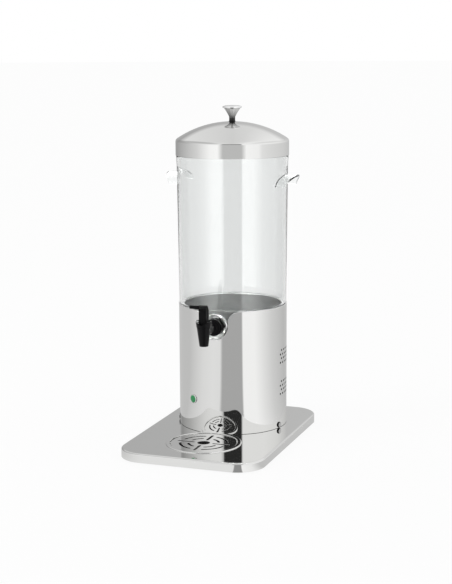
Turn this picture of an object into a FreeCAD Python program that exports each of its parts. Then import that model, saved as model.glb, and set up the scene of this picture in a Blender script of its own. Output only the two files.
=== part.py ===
import FreeCAD, Part
import math
import os
import re

import Sketcher
from FreeCAD import Placement, Rotation, Vector

# Counter-top drink dispenser: a clear tank with a lever tap stands in a cooled steel housing on a
# pressed base plate. Millimetres, +Z up, the tap faces -Y. The origin is the middle of the footprint,
# on the table.

doc = FreeCAD.newDocument("DrinkDispenser")
sheet = doc.addObject("Spreadsheet::Sheet", "Sizes")

SIZES = [
    ("Base plate", [
        ("plate_width", 225, "across, left to right"),
        ("plate_length", 336, "front to back"),
        ("plate_top", 15, "level of the plate's top face"),
        ("plate_corner", 42, "corner radius seen from above"),
        ("plate_edge", 3, "rounding of the top edge"),
        ("plate_sheet", 1.2, "sheet of the plate"),
        ("skirt_gap", 1.2, "air under the skirt"),
        ("cover_level", 3, "underside of the bottom cover"),
        ("cover_sheet", 0.8, "sheet of the bottom cover"),
        ("foot_radius", 10, "rubber foot"),
        ("foot_across", 176, "left to right between feet"),
        ("foot_along", 286, "front to back between feet"),
        ("intake_pitch", 10, "between the air slots"),
    ]),
    ("Drip tray and grid", [
        ("tray_forward", 81.5, "tray centre in front of the origin"),
        ("tray_ring_radius", 57.7, "outside of the raised ring"),
        ("tray_ring_top", 16.3, "top of the raised ring"),
        ("tray_hole", 51.15, "hole in the plate"),
        ("tray_wall_radius", 47, "outside of the tray's wall"),
        ("tray_floor", 4.4, "underside of the floor"),
        ("tray_sheet", 0.8, "sheet of the tray"),
        ("grid_ledge", 13.8, "level on which the grid rests"),
        ("grid_radius", 50.2, "grid disc"),
        ("grid_sheet", 1.2, "sheet of the grid"),
        ("grid_hole", 9.5, "middle hole radius"),
        ("slot_width", 4, "width of every grid slot"),
        ("slot_inner", 23, "radius of the inner slot ring"),
        ("slot_outer", 35.5, "radius of the outer slot ring"),
    ]),
    ("Housing", [
        ("axis_back", 54.6, "housing axis behind the origin"),
        ("housing_radius", 85, "outside of the shell"),
        ("housing_sheet", 1, "sheet of the shell"),
        ("housing_top", 207.2, "upper edge of the shell"),
        ("notch_half", 20.5, "half width of the front notch"),
        ("notch_flare", 16, "radius of the notch's mouth"),
        ("vent_radius", 1.75, "vent hole"),
        ("vent_row", 6.6, "between rows of vents"),
        ("vent_low", 78.5, "middle of the lower vents"),
        ("vent_high", 128.5, "middle of the upper vents"),
        ("vent_turn", 5.3, "degrees between vents in a row"),
        ("vent_start", 10.2, "degrees from the side to the first vents"),
        ("foot_ring_top", 27, "top of the ring inside the foot"),
        ("side_screw_level", 20, "side screws"),
        ("side_screw_angle", 76.7, "degrees from the front"),
        ("lamp_level", 65.6, "pilot lamp"),
        ("lamp_angle", 27.1, "degrees left of the front"),
        ("inlet_level", 45, "mains inlet"),
        ("switch_level", 80, "rocker switch"),
    ]),
    ("Cooling", [
        ("liner_radius", 81.2, "outside of the well liner"),
        ("liner_sheet", 0.8, "sheet of the liner"),
        ("liner_floor", 152.2, "underside of the liner's floor"),
        ("liner_top", 208, "top of the liner's flange"),
        ("cold_radius", 42, "cold plate"),
        ("cold_top", 154.9, "top of the cold plate"),
        ("module_side", 40, "side of the thermoelectric module"),
        ("module_low", 140, "underside of the module"),
        ("module_high", 144, "top of the module"),
        ("sink_side", 90, "side of the heat sink"),
        ("sink_base", 6, "thickness of its base"),
        ("fin_low", 112, "lower ends of the fins"),
        ("fin_pitch", 5.5, "between fins"),
        ("fin_sheet", 1.6, "thickness of a fin"),
        ("clamp_place", 24.75, "clamp screws off the axis"),
        ("carrier_place", 41.25, "carrier screws off the axis"),
        ("pillar_place", 52.3, "pillars off the axis"),
        ("pillar_radius", 4, "pillar"),
        ("fan_side", 80, "fan frame"),
        ("fan_low", 87, "underside of the fan"),
        ("fan_height", 25, "height of the fan"),
        ("fan_bore", 38, "bore of the fan frame"),
        ("fan_screw_place", 35.75, "fan screws off the axis"),
        ("hub_radius", 18, "fan hub"),
    ]),
    ("Tank", [
        ("tank_bottom", 155, "underside of the tank"),
        ("tank_nest", 79.6, "radius that stands in the well"),
        ("tank_shoulder", 208, "level of the shoulder"),
        ("tank_low", 84.1, "outer radius above the shoulder"),
        ("tank_high", 86.6, "outer radius at the top"),
        ("tank_bead", 87.3, "outer radius of the bead"),
        ("bead_low", 427.5, "lower edge of the bead"),
        ("bead_high", 438.5, "upper edge of the bead"),
        ("tank_top", 448, "upper edge of the tank"),
        ("tank_wall", 3, "wall"),
        ("tank_floor", 4, "floor"),
        ("port_radius", 44, "opening in the floor"),
        ("boss_radius", 19.5, "tap boss"),
        ("boss_face", 87, "front face of the boss off the axis"),
        ("boss_seat", 75, "inner face of the boss off the axis"),
        ("handle_top", 412, "highest line of the handles"),
        ("handle_rise", 17.5, "height of a handle's arch"),
        ("handle_half", 32, "half width of a handle"),
        ("handle_reach", 110, "handle's lip off the axis"),
        ("handle_wall", 2.6, "wall of a handle"),
    ]),
    ("Tap", [
        ("tap_forward", 77, "spout axis in front of the origin"),
        ("tap_level", 184, "shank axis"),
        ("spout_low", 163.6, "lower end of the spout"),
        ("spout_tip", 6.75, "outer radius there"),
        ("spout_high", 192.6, "upper end of the spout"),
        ("spout_wide", 10.5, "outer radius there"),
        ("spout_bore", 4.6, "bore of the spout"),
        ("valve_chamber", 6.4, "radius of the valve chamber"),
        ("seat_low", 172, "lower edge of the valve seat"),
        ("seat_high", 175.5, "upper edge of the valve seat"),
        ("shank_radius", 6.6, "shank in front of the flange"),
        ("thread_radius", 7.4, "shank through the tank"),
        ("flange_radius", 13.3, "flange against the boss"),
        ("seal_sheet", 1.5, "tap seals"),
        ("bonnet_wide", 12.2, "radius at the wings' tips"),
        ("bonnet_top", 202.4, "wings' tips"),
        ("bonnet_vee", 196.5, "lowest line of the vee"),
        ("stem_radius", 2.5, "valve stem"),
        ("lever_pin_level", 203.5, "hinge pin of the lever"),
        ("lever_pin_radius", 1.4, "hinge pin"),
        ("lever_hub", 6, "half width of the lever's hub"),
        ("lever_half", 7.6, "half width of the paddle"),
        ("lever_reach", 40, "tip of the paddle off the spout axis"),
        ("paddle_sheet", 4.8, "thickness of the paddle"),
        ("paddle_root", 226.2, "top of the paddle over the spout axis"),
        ("paddle_tip", 233, "top of the paddle at its tip"),
    ]),
    ("Lid", [
        ("lid_radius", 88, "outside of the skirt"),
        ("lid_low", 439, "lower edge of the skirt"),
        ("lid_apex", 491.7, "top of the dome"),
        ("lid_sphere", 155, "radius of the dome"),
        ("lid_sheet", 0.8, "sheet of the lid"),
        ("lid_shoulder", 6, "rounding between skirt and dome"),
        ("knob_base", 7.5, "radius of the knob's foot"),
        ("knob_waist", 6.75, "radius of the knob's waist"),
        ("knob_waist_level", 495, "level of the waist"),
        ("knob_rim", 15.25, "radius of the knob's rim"),
        ("knob_rim_low", 511.6, "lower edge of the rim"),
        ("knob_rim_high", 513.4, "upper edge of the rim"),
        ("knob_top", 516.4, "top of the knob"),
    ]),
]

row = 1
for heading, cells in SIZES:
    sheet.set("A%d" % row, heading)
    row += 1
    for alias, number, note in cells:
        sheet.set("A%d" % row, note)
        sheet.set("B%d" % row, str(number))
        sheet.setAlias("B%d" % row, alias)
        row += 1
doc.recompute()

ALIASES = {alias for heading, cells in SIZES for alias, number, note in cells}
WORD = re.compile(r"[a-z][a-z_]+")
UP = Vector(0, 0, 1)
PIECES = []


def bound(expression):
    """The expression with the sheet's name before each of its cells."""
    return WORD.sub(lambda found: "Sizes." + found[0] if found[0] in ALIASES else found[0], str(expression))


def size(expression):
    """The expression's present value in millimetres or degrees."""
    result = sheet.evalExpression(bound(expression))
    return float(getattr(result, "Value", result))


def bind(thing, **properties):
    """Bind properties of a document object to expressions; x, y and z are its place."""
    for name, expression in properties.items():
        path = "Placement.Base." + name if name in ("x", "y", "z") else name
        thing.setExpression(path, bound(expression))
    return thing


def part(kind, label, tip=Rotation(), **properties):
    """A Part object with its own label, turned by tip and bound to expressions."""
    thing = doc.addObject("Part::" + kind, label)
    thing.Label = label
    thing.Placement = Placement(Vector(), tip)
    return bind(thing, **properties)


def rod(label, radius, height, tip=Rotation(), **place):
    """A cylinder along its own Z."""
    return part("Cylinder", label, tip, Radius=radius, Height=height, **place)


def block(label, length, width, height, x, y, z):
    """A box centred on x and y that stands on z."""
    return part("Box", label, Length=length, Width=width, Height=height,
                x="%s - (%s) / 2" % (x, length), y="%s - (%s) / 2" % (y, width), z=z)


def joined(label, pieces):
    """One solid, or a group of separate ones, made of several."""
    thing = doc.addObject("Part::MultiFuse", label)
    thing.Label = label
    thing.Shapes = pieces
    return thing


def group(label, pieces):
    """Like pieces that share a node as separate solids."""
    thing = doc.addObject("Part::Compound", label)
    thing.Label = label
    thing.Links = pieces
    return keep(thing)


def less(label, base, tools):
    """The base without the tools."""
    thing = doc.addObject("Part::Cut", label)
    thing.Label = label
    thing.Base = base
    thing.Tool = tools[0] if len(tools) == 1 else joined(label + "_tools", tools)
    return thing


def keep(thing):
    """Take the object as a finished piece of the dispenser."""
    PIECES.append(thing)
    return thing


def plane(body, role):
    """One of the body's own origin planes or axes."""
    return next(feature for feature in body.Origin.OriginFeatures if feature.Role == role)


def new_body(label, **place):
    """An empty body, placed by expressions."""
    body = doc.addObject("PartDesign::Body", label)
    body.Label = label
    return bind(body, **place)


def new_sketch(body, name, role="XZ_Plane", offset=0):
    """A sketch on one of the body's origin planes, moved along its normal."""
    sketch = body.newObject("Sketcher::SketchObject", name)
    sketch.AttachmentSupport = [(plane(body, role), "")]
    sketch.MapMode = "FlatFace"
    if offset:
        sketch.setExpression("AttachmentOffset.Base.z", bound(offset))
    return sketch


def fix(sketch, geometry, end, x, y):
    """Hold one end of a line or arc at the place that two expressions give."""
    for kind, axis, expression in (("DistanceX", -2, x), ("DistanceY", -1, y)):
        distance = size(expression)
        if abs(distance) < 1e-9:
            sketch.addConstraint(Sketcher.Constraint("PointOnObject", geometry, end, axis))
        else:
            index = sketch.addConstraint(Sketcher.Constraint(kind, -1, 1, geometry, end, distance))
            sketch.setExpression("Constraints[%d]" % index, bound(expression))


def outline(sketch, corners):
    """Draw a closed outline through the corners.

    A corner is its x and y. A third value is the radius of the arc that leads to it, positive where
    the arc turns left and negative where it turns right.
    """
    first = sketch.GeometryCount
    ends = []
    for index, corner in enumerate(corners):
        before = corners[index - 1]
        start = Vector(size(before[0]), size(before[1]), 0)
        finish = Vector(size(corner[0]), size(corner[1]), 0)
        if len(corner) == 2:
            sketch.addGeometry(Part.LineSegment(start, finish))
            ends.append((1, 2))
            continue
        bend = size(corner[2])
        chord = finish - start
        sagitta = math.sqrt(bend ** 2 - (chord.Length / 2) ** 2)
        normal = Vector(-chord.y, chord.x, 0).normalize() * math.copysign(sagitta, bend)
        middle = start + chord / 2 + normal
        left = bend > 0
        turns = [math.atan2(point.y - middle.y, point.x - middle.x) for point in (start, finish)]
        low, high = turns if left else turns[::-1]
        circle = Part.Circle(middle, UP, abs(bend))
        sketch.addGeometry(Part.ArcOfCircle(circle, low, high if high > low else high + 2 * math.pi))
        ends.append((1, 2) if left else (2, 1))
    count = len(corners)
    for index in range(count):
        geometry = first + index
        following = first + (index + 1) % count
        joint = Sketcher.Constraint("Coincident", geometry, ends[index][1], following, ends[(index + 1) % count][0])
        sketch.addConstraint(joint)
    for index, corner in enumerate(corners):
        fix(sketch, first + index, ends[index][1], corner[0], corner[1])
        if len(corner) == 3:
            radius = sketch.addConstraint(Sketcher.Constraint("Radius", first + index, abs(size(corner[2]))))
            sketch.setExpression("Constraints[%d]" % radius, bound(str(corner[2]).lstrip("-")))


def ring(sketch, x, y, radius):
    """Draw a circle of a bound radius round the place that two expressions give."""
    circle = Part.Circle(Vector(size(x), size(y), 0), UP, size(radius))
    geometry = sketch.addGeometry(circle)
    fix(sketch, geometry, 3, x, y)
    index = sketch.addConstraint(Sketcher.Constraint("Radius", geometry, size(radius)))
    sketch.setExpression("Constraints[%d]" % index, bound(radius))


def turned(label, corners, **place):
    """A body turned about its own Z from an outline of radius and level."""
    body = new_body(label, **place)
    sketch = new_sketch(body, label + "_outline")
    outline(sketch, corners)
    feature = body.newObject("PartDesign::Revolution", label + "_turned")
    feature.Profile = sketch
    feature.ReferenceAxis = (sketch, ["V_Axis"])
    feature.Angle = 360
    doc.recompute()
    return body


def raised(body, sketch, height, name="pad", back=False, both=False):
    """Pad a sketch, backwards or to both sides if asked."""
    feature = body.newObject("PartDesign::Pad", body.Label + "_" + name)
    feature.Profile = sketch
    feature.Reversed = back
    if both:
        feature.SideType = "Symmetric"
    bind(feature, Length=height)
    doc.recompute()
    return feature


def sunk(body, sketch, depth, name="pocket", back=False, both=False):
    """Pocket a sketch and make sure that it removed something."""
    before = body.Shape.Volume
    feature = body.newObject("PartDesign::Pocket", body.Label + "_" + name)
    feature.Profile = sketch
    feature.Reversed = back
    if both:
        feature.SideType = "Symmetric"
    bind(feature, Length=depth)
    doc.recompute()
    if not body.Shape.Volume < before:
        raise ValueError("%s cut nothing" % feature.Label)
    return feature


def repeated(body, feature, count, angle, back=False):
    """Repeat a feature about the body's Z, angle degrees apart."""
    pattern = body.newObject("PartDesign::PolarPattern", feature.Label + "_pattern")
    pattern.Originals = [feature]
    pattern.Axis = (plane(body, "Z_Axis"), [""])
    pattern.Reversed = back
    pattern.Mode = "Spacing"
    pattern.Occurrences = count
    bind(pattern, Offset=angle)
    body.Tip = pattern
    doc.recompute()
    return pattern


def in_line(body, feature, count, pitch, role):
    """Repeat a feature along one of the body's axes, pitch apart."""
    pattern = body.newObject("PartDesign::LinearPattern", feature.Label + "_row")
    pattern.Originals = [feature]
    pattern.Direction = (plane(body, role), [""])
    pattern.Mode = "Spacing"
    pattern.Occurrences = count
    bind(pattern, Offset=pitch)
    body.Tip = pattern
    doc.recompute()
    return pattern


def rounded(body, radius, chosen, name="rounding"):
    """Fillet the edges of the body's tip for which chosen(edge) is true."""
    base = body.Tip
    names = ["Edge%d" % (index + 1) for index, edge in enumerate(base.Shape.Edges) if chosen(edge)]
    if not names:
        raise ValueError("%s has no edge to round" % body.Label)
    feature = body.newObject("PartDesign::Fillet", body.Label + "_" + name)
    feature.Base = (base, names)
    bind(feature, Radius=radius)
    doc.recompute()
    return feature


def level_edge(level):
    """Choose edges that lie flat at a level of the body's own frame."""
    return lambda edge: edge.BoundBox.ZLength < 1e-6 and abs(edge.BoundBox.ZMin - size(level)) < 1e-6


def round_corners(half_x, half_y, radius):
    """Corners of a rectangle with rounded corners, as the outline function takes them."""
    x, y, r = ["(%s)" % text for text in (half_x, half_y, radius)]
    return [(x, "-%s + %s" % (y, r), r), (x, "%s - %s" % (y, r)),
            ("%s - %s" % (x, r), y, r), ("-%s + %s" % (x, r), y),
            ("-" + x, "%s - %s" % (y, r), r), ("-" + x, "-%s + %s" % (y, r)),
            ("-%s + %s" % (x, r), "-" + y, r), ("%s - %s" % (x, r), "-" + y)]


def cap(radius, rise):
    """The radius of a flat cap's sphere, whose middle then lies on the axis."""
    return "((%s) ^ 2 + (%s) ^ 2) / (2 * (%s))" % (radius, rise, rise)


def four(x, y):
    """Four places at plus and minus x and y."""
    return [("%s(%s)" % (a, x), "%s(%s)" % (b, y)) for a in "+-" for b in "+-"]


def at_four(label, radius, low, high, place, head=None, behind="axis_back"):
    """Four rods about the housing axis, each with a head's radius and levels if it has one."""
    rods = []
    for index, (x, y) in enumerate(four(place, place)):
        shank = rod("%s_%d" % (label, index), radius, "%s - (%s)" % (high, low), x=x, y=behind + y, z=low)
        if head:
            head_radius, head_low, head_high = head
            cap = rod("%s_head_%d" % (label, index), head_radius, "%s - (%s)" % (head_high, head_low),
                      x=x, y=behind + y, z=head_low)
            shank = joined("%s_whole_%d" % (label, index), [shank, cap])
        rods.append(shank)
    return rods


def outward(angle):
    """A turn that lays Z along the horizontal way out of the housing, angle degrees from the front."""
    return Rotation(UP, size(angle)) * Rotation(Vector(1, 0, 0), 90)


def radial(angle, distance, level):
    """Where a radial piece starts: expressions for x, y and z."""
    return {"x": "(%s) * sin(%s)" % (distance, angle), "y": "axis_back - (%s) * cos(%s)" % (distance, angle),
            "z": level}


# Base plate, bottom cover and feet

SLOT_COUNT = 5


def air_slots(body, name, depth, back):
    """A row of air slots under the fan, repeated towards the back."""
    sketch = new_sketch(body, name, "XY_Plane")
    outline(sketch, [("30", "3"), ("30", "7", 2.2), ("-30", "7"), ("-30", "3", 2.2)])
    slot = sunk(body, sketch, depth, name + "_cut", back=back)
    in_line(body, slot, SLOT_COUNT, "intake_pitch", "Y_Axis")


def make_base():
    """Pressed plate with a skirt, a cover that closes it, four feet and what holds them."""
    plate = new_body("base_plate", z="skirt_gap")
    sketch = new_sketch(plate, "plate_outline", "XY_Plane")
    outline(sketch, round_corners("plate_width / 2", "plate_length / 2", "plate_corner"))
    raised(plate, sketch, "plate_top - skirt_gap")
    rounded(plate, "plate_edge", level_edge("plate_top - skirt_gap"))
    hollow = new_sketch(plate, "plate_hollow", "XY_Plane")
    outline(hollow, round_corners("plate_width / 2 - plate_sheet", "plate_length / 2 - plate_sheet",
                                  "plate_corner - plate_sheet"))
    sunk(plate, hollow, "plate_top - skirt_gap - plate_sheet", "hollow", back=True)
    rounded(plate, "plate_edge - plate_sheet", level_edge("plate_top - skirt_gap - plate_sheet"), "inner")
    holes = new_sketch(plate, "plate_holes", "XY_Plane")
    ring(holes, "0", "-tray_forward", "tray_hole")
    for x, y in four("pillar_place", "pillar_place"):
        ring(holes, x, "axis_back" + y, "2.1")
    sunk(plate, holes, "plate_top", "holes", back=True)
    air_slots(plate, "plate_slots", "plate_top", True)
    keep(plate)

    cover = new_body("bottom_cover", z="cover_level")
    sheet_outline = new_sketch(cover, "cover_outline", "XY_Plane")
    inset = "plate_sheet + 0.2"
    outline(sheet_outline, round_corners("plate_width / 2 - " + inset.replace(" + ", " - "),
                                         "plate_length / 2 - " + inset.replace(" + ", " - "),
                                         "plate_corner - plate_sheet"))
    for x, y in four("foot_across / 2", "foot_along / 2"):
        ring(sheet_outline, x, y, "1.6")
    raised(cover, sheet_outline, "cover_sheet")
    air_slots(cover, "cover_slots", "cover_sheet", True)
    keep(cover)

    feet, screws, spacers = [], [], []
    for index, (x, y) in enumerate(four("foot_across / 2", "foot_along / 2")):
        feet.append(turned("foot_%d" % index, [
            ("1.65", "1.6"), ("3.4", "1.6"), ("3.4", "0"), ("foot_radius - 0.8", "0"),
            ("foot_radius", "0.8", 0.8), ("foot_radius", "cover_level"), ("1.65", "cover_level")], x=x, y=y))
        screws.append(turned("foot_screw_%d" % index, [
            ("0", "0.4"), ("3", "0.4"), ("3", "1.6"), ("1.5", "1.6"), ("1.5", "11"), ("0", "11")], x=x, y=y))
        spacers.append(turned("cover_spacer_%d" % index, [
            ("1.55", "cover_level + cover_sheet"), ("4", "cover_level + cover_sheet"),
            ("4", "plate_top - plate_sheet"), ("1.55", "plate_top - plate_sheet")], x=x, y=y))
    group("rubber_feet", feet)
    group("foot_screws", screws)
    group("cover_spacers", spacers)


# Drip tray and grid

def arc_slot(sketch, radius, begin, finish):
    """A slot bent round the middle, from one angle to another, with rounded ends."""
    outer, inner = "(%s + slot_width / 2)" % radius, "(%s - slot_width / 2)" % radius
    end = "slot_width * 0.55"
    outline(sketch, [
        ("%s * cos(%s)" % (outer, begin), "%s * sin(%s)" % (outer, begin), end),
        ("%s * cos(%s)" % (outer, finish), "%s * sin(%s)" % (outer, finish), outer),
        ("%s * cos(%s)" % (inner, finish), "%s * sin(%s)" % (inner, finish), end),
        ("%s * cos(%s)" % (inner, begin), "%s * sin(%s)" % (inner, begin), "-" + inner)])


def make_tray():
    """Raised ring welded in the plate, the tray that hangs in it and the slotted grid on top."""
    inside = "(grid_radius + 0.25)"
    ring_body = turned("ring_band", [
        ("tray_wall_radius + 0.6", "grid_ledge - tray_sheet - 0.85"),
        ("tray_hole - 0.1", "grid_ledge - tray_sheet - 0.85"), ("tray_hole - 0.1", "plate_top + 0.05"),
        ("tray_ring_radius", "plate_top + 0.05"), ("tray_ring_radius", "tray_ring_top - 1"),
        ("tray_ring_radius - 1", "tray_ring_top", 1), (inside + " + 1", "tray_ring_top"),
        (inside, "tray_ring_top - 1", 1), (inside, "grid_ledge - tray_sheet - 0.05"),
        ("tray_wall_radius + 0.6", "grid_ledge - tray_sheet - 0.05")], y="-tray_forward")
    trim = rod("ring_trim", "housing_radius + 0.1", 5, y="axis_back", z="plate_top")
    keep(less("tray_ring", ring_body, [trim]))

    low = "grid_ledge - tray_sheet"
    keep(turned("drip_tray", [
        ("0", "tray_floor"), ("tray_wall_radius - 2", "tray_floor"), ("tray_wall_radius", "tray_floor + 2", 2),
        ("tray_wall_radius", low), ("grid_radius", low), ("grid_radius", "grid_ledge"),
        ("tray_wall_radius - tray_sheet", "grid_ledge"), ("tray_wall_radius - tray_sheet", "tray_floor + 2"),
        ("tray_wall_radius - 2", "tray_floor + tray_sheet", "-(2 - tray_sheet)"),
        ("0", "tray_floor + tray_sheet")], y="-tray_forward"))

    grid = new_body("drip_grid", y="-tray_forward", z="grid_ledge")
    disc = new_sketch(grid, "grid_disc", "XY_Plane")
    ring(disc, "0", "0", "grid_radius")
    ring(disc, "0", "0", "grid_hole")
    raised(grid, disc, "grid_sheet")
    slots = new_sketch(grid, "grid_slots", "XY_Plane")
    arc_slot(slots, "slot_inner", 24, 66)
    arc_slot(slots, "slot_outer", 17, 73)
    half = "slot_width / 2"
    outline(slots, [("16", "-" + half), ("40", "-" + half), ("40", half, "slot_width * 0.55"), ("16", half),
                    ("16", "-" + half, "slot_width * 0.55")][1:])
    cut = sunk(grid, slots, "grid_sheet", back=True)
    repeated(grid, cut, 4, 90)
    rounded(grid, "0.4", lambda edge: level_edge("grid_sheet")(edge) and edge.BoundBox.XLength > size("grid_radius"))
    keep(grid)


# Housing shell with its notch, vents and cut-outs

VENT_COLUMNS = 8


def vents(body, side):
    """Two groups of four staggered rows of round holes, carried back round one side."""
    name = "vents_right" if side > 0 else "vents_left"
    sketch = new_sketch(body, name, "YZ_Plane")
    sketch.setExpression("AttachmentOffset.Rotation.Axis.y", "1")
    sketch.setExpression("AttachmentOffset.Rotation.Angle", bound("%d * vent_start" % side))
    step = "housing_radius * sin(vent_turn / 2)"
    for middle in ("vent_low", "vent_high"):
        for index, line in enumerate(("-1.5", "-0.5", "0.5", "1.5")):
            ring(sketch, step if index % 2 else "0", "%s + %s * vent_row" % (middle, line), "vent_radius")
    cut = sunk(body, sketch, "housing_radius + 5", name + "_cut", back=side > 0)
    repeated(body, cut, VENT_COLUMNS, "vent_turn", back=side < 0)


def make_housing():
    """Polished shell on a ring spot-welded to the plate, with its side screws and their caps."""
    shell = turned("shell_sheet", [
        ("housing_radius - housing_sheet", "plate_top"), ("housing_radius", "plate_top"),
        ("housing_radius", "housing_top"), ("housing_radius - housing_sheet", "housing_top")], y="axis_back")
    notch = new_sketch(shell, "notch_outline")
    mouth = "notch_half + notch_flare"
    outline(notch, [
        ("notch_half", "tap_level", "notch_half * 1.0001"), ("notch_half", "housing_top - notch_flare"),
        (mouth, "housing_top", "-notch_flare * 1.0001"), (mouth, "housing_top + 5"),
        ("-" + mouth.replace(" + ", " - "), "housing_top + 5"),
        ("-" + mouth.replace(" + ", " - "), "housing_top"),
        ("-notch_half", "housing_top - notch_flare", "-notch_flare * 1.0001"), ("-notch_half", "tap_level")])
    sunk(shell, notch, "housing_radius + 5", "notch", back=True)
    for side in (1, -1):
        vents(shell, side)
    out = "housing_radius + 3"
    tools = [rod("lamp_hole", 6.1, 6, outward("-lamp_angle"), **radial("-lamp_angle", "housing_radius - 4",
                                                                          "lamp_level"))]
    for sign in ("", "-"):
        angle = sign + "side_screw_angle"
        tools.append(rod("screw_hole" + sign, 2.1, 8, outward(angle),
                         **radial(angle, "housing_radius - 5", "side_screw_level")))
    tools.append(block("inlet_hole", "27.6", "12", "20", "0", "axis_back + housing_radius - 2", "inlet_level - 10"))
    tools.append(block("switch_hole", "19.4", "12", "26.8", "0", "axis_back + " + out + " - 5",
                       "switch_level - 13.4"))
    keep(less("housing_shell", shell, tools))

    foot = turned("foot_ring", [
        ("79", "plate_top"), ("housing_radius - 1.2", "plate_top"), ("housing_radius - 1.2", "foot_ring_top"),
        ("housing_radius - 3", "foot_ring_top"), ("housing_radius - 3", "plate_top + 1.2"),
        ("79", "plate_top + 1.2")], y="axis_back")
    taps = [rod("ring_tapping" + sign, 2.05, 10, outward(sign + "side_screw_angle"),
                **radial(sign + "side_screw_angle", "housing_radius - 8", "side_screw_level"))
            for sign in ("", "-")]
    foot.Label = "foot_ring_turned"
    keep(less("foot_ring", foot, taps))
    screws, caps = [], []
    for sign in ("", "-"):
        angle = sign + "side_screw_angle"
        tip = outward(angle)
        shank = rod("side_shank" + sign, 2, 6, tip, **radial(angle, "housing_radius - 5.9", "side_screw_level"))
        head = rod("side_head" + sign, 3.6, 2, tip, **radial(angle, "housing_radius + 0.1", "side_screw_level"))
        screws.append(joined("side_screw" + sign, [shank, head]))
        cap = rod("cap_outside" + sign, 4.6, 3.2, tip, **radial(angle, "housing_radius + 0.1",
                                                                 "side_screw_level"))
        inside = rod("cap_inside" + sign, 3.65, 2.1, tip, **radial(angle, "housing_radius", "side_screw_level"))
        caps.append(less("side_cap" + sign, cap, [inside]))
    group("side_screws", screws)
    group("side_screw_caps", caps)


# Cooling: well, insulation, cold plate, thermoelectric module, heat sink and fan

def make_well():
    """Steel well that hangs on the shell's rim, with its foam."""
    liner = turned("liner_pot", [
        ("cold_radius + 1", "liner_floor"), ("liner_radius - 3", "liner_floor"),
        ("liner_radius", "liner_floor + 3", 3), ("liner_radius", "housing_top"),
        ("housing_radius", "housing_top"), ("housing_radius", "liner_top"),
        ("liner_radius - liner_sheet + 1.5", "liner_top"),
        ("liner_radius - liner_sheet", "liner_top - 1.5", 1.5),
        ("liner_radius - liner_sheet", "liner_floor + 3"),
        ("liner_radius - 3", "liner_floor + liner_sheet", "-(3 - liner_sheet)"),
        ("cold_radius + 1", "liner_floor + liner_sheet")], y="axis_back")
    slot = new_sketch(liner, "liner_slot")
    wide, narrow = "notch_half + notch_flare + 0.5", "notch_half + 1"
    outline(slot, [
        (narrow, "tap_level", "(%s) * 1.0001" % narrow), (narrow, "housing_top - 0.4"),
        (wide, "housing_top - 0.4"), (wide, "liner_top + 5"),
        ("-(%s)" % wide, "liner_top + 5"), ("-(%s)" % wide, "housing_top - 0.4"),
        ("-(%s)" % narrow, "housing_top - 0.4"), ("-(%s)" % narrow, "tap_level")])
    sunk(liner, slot, "housing_radius + 5", "slot", back=True)
    holes = at_four("liner_hole", "2.1", "liner_floor - 1", "liner_floor + 4", "pillar_place")
    keep(less("well_liner", liner, holes))

    sleeve = turned("sleeve_foam", [
        ("liner_radius + 0.2", "liner_floor + 3"), ("housing_radius - housing_sheet - 0.2", "liner_floor + 3"),
        ("housing_radius - housing_sheet - 0.2", "housing_top - 2"), ("liner_radius + 0.2", "housing_top - 2")],
        y="axis_back")
    gap = block("sleeve_gap", "80", "100", "80", "0", "axis_back - 85", "tap_level - 25")
    keep(less("insulation_sleeve", sleeve, [gap]))

    keep(turned("insulation_pad", [
        ("cold_radius + 0.4", "module_high + 0.2"), ("69.5", "module_high + 0.2"),
        ("69.5", "liner_floor"), ("cold_radius + 0.4", "liner_floor")], y="axis_back"))


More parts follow.
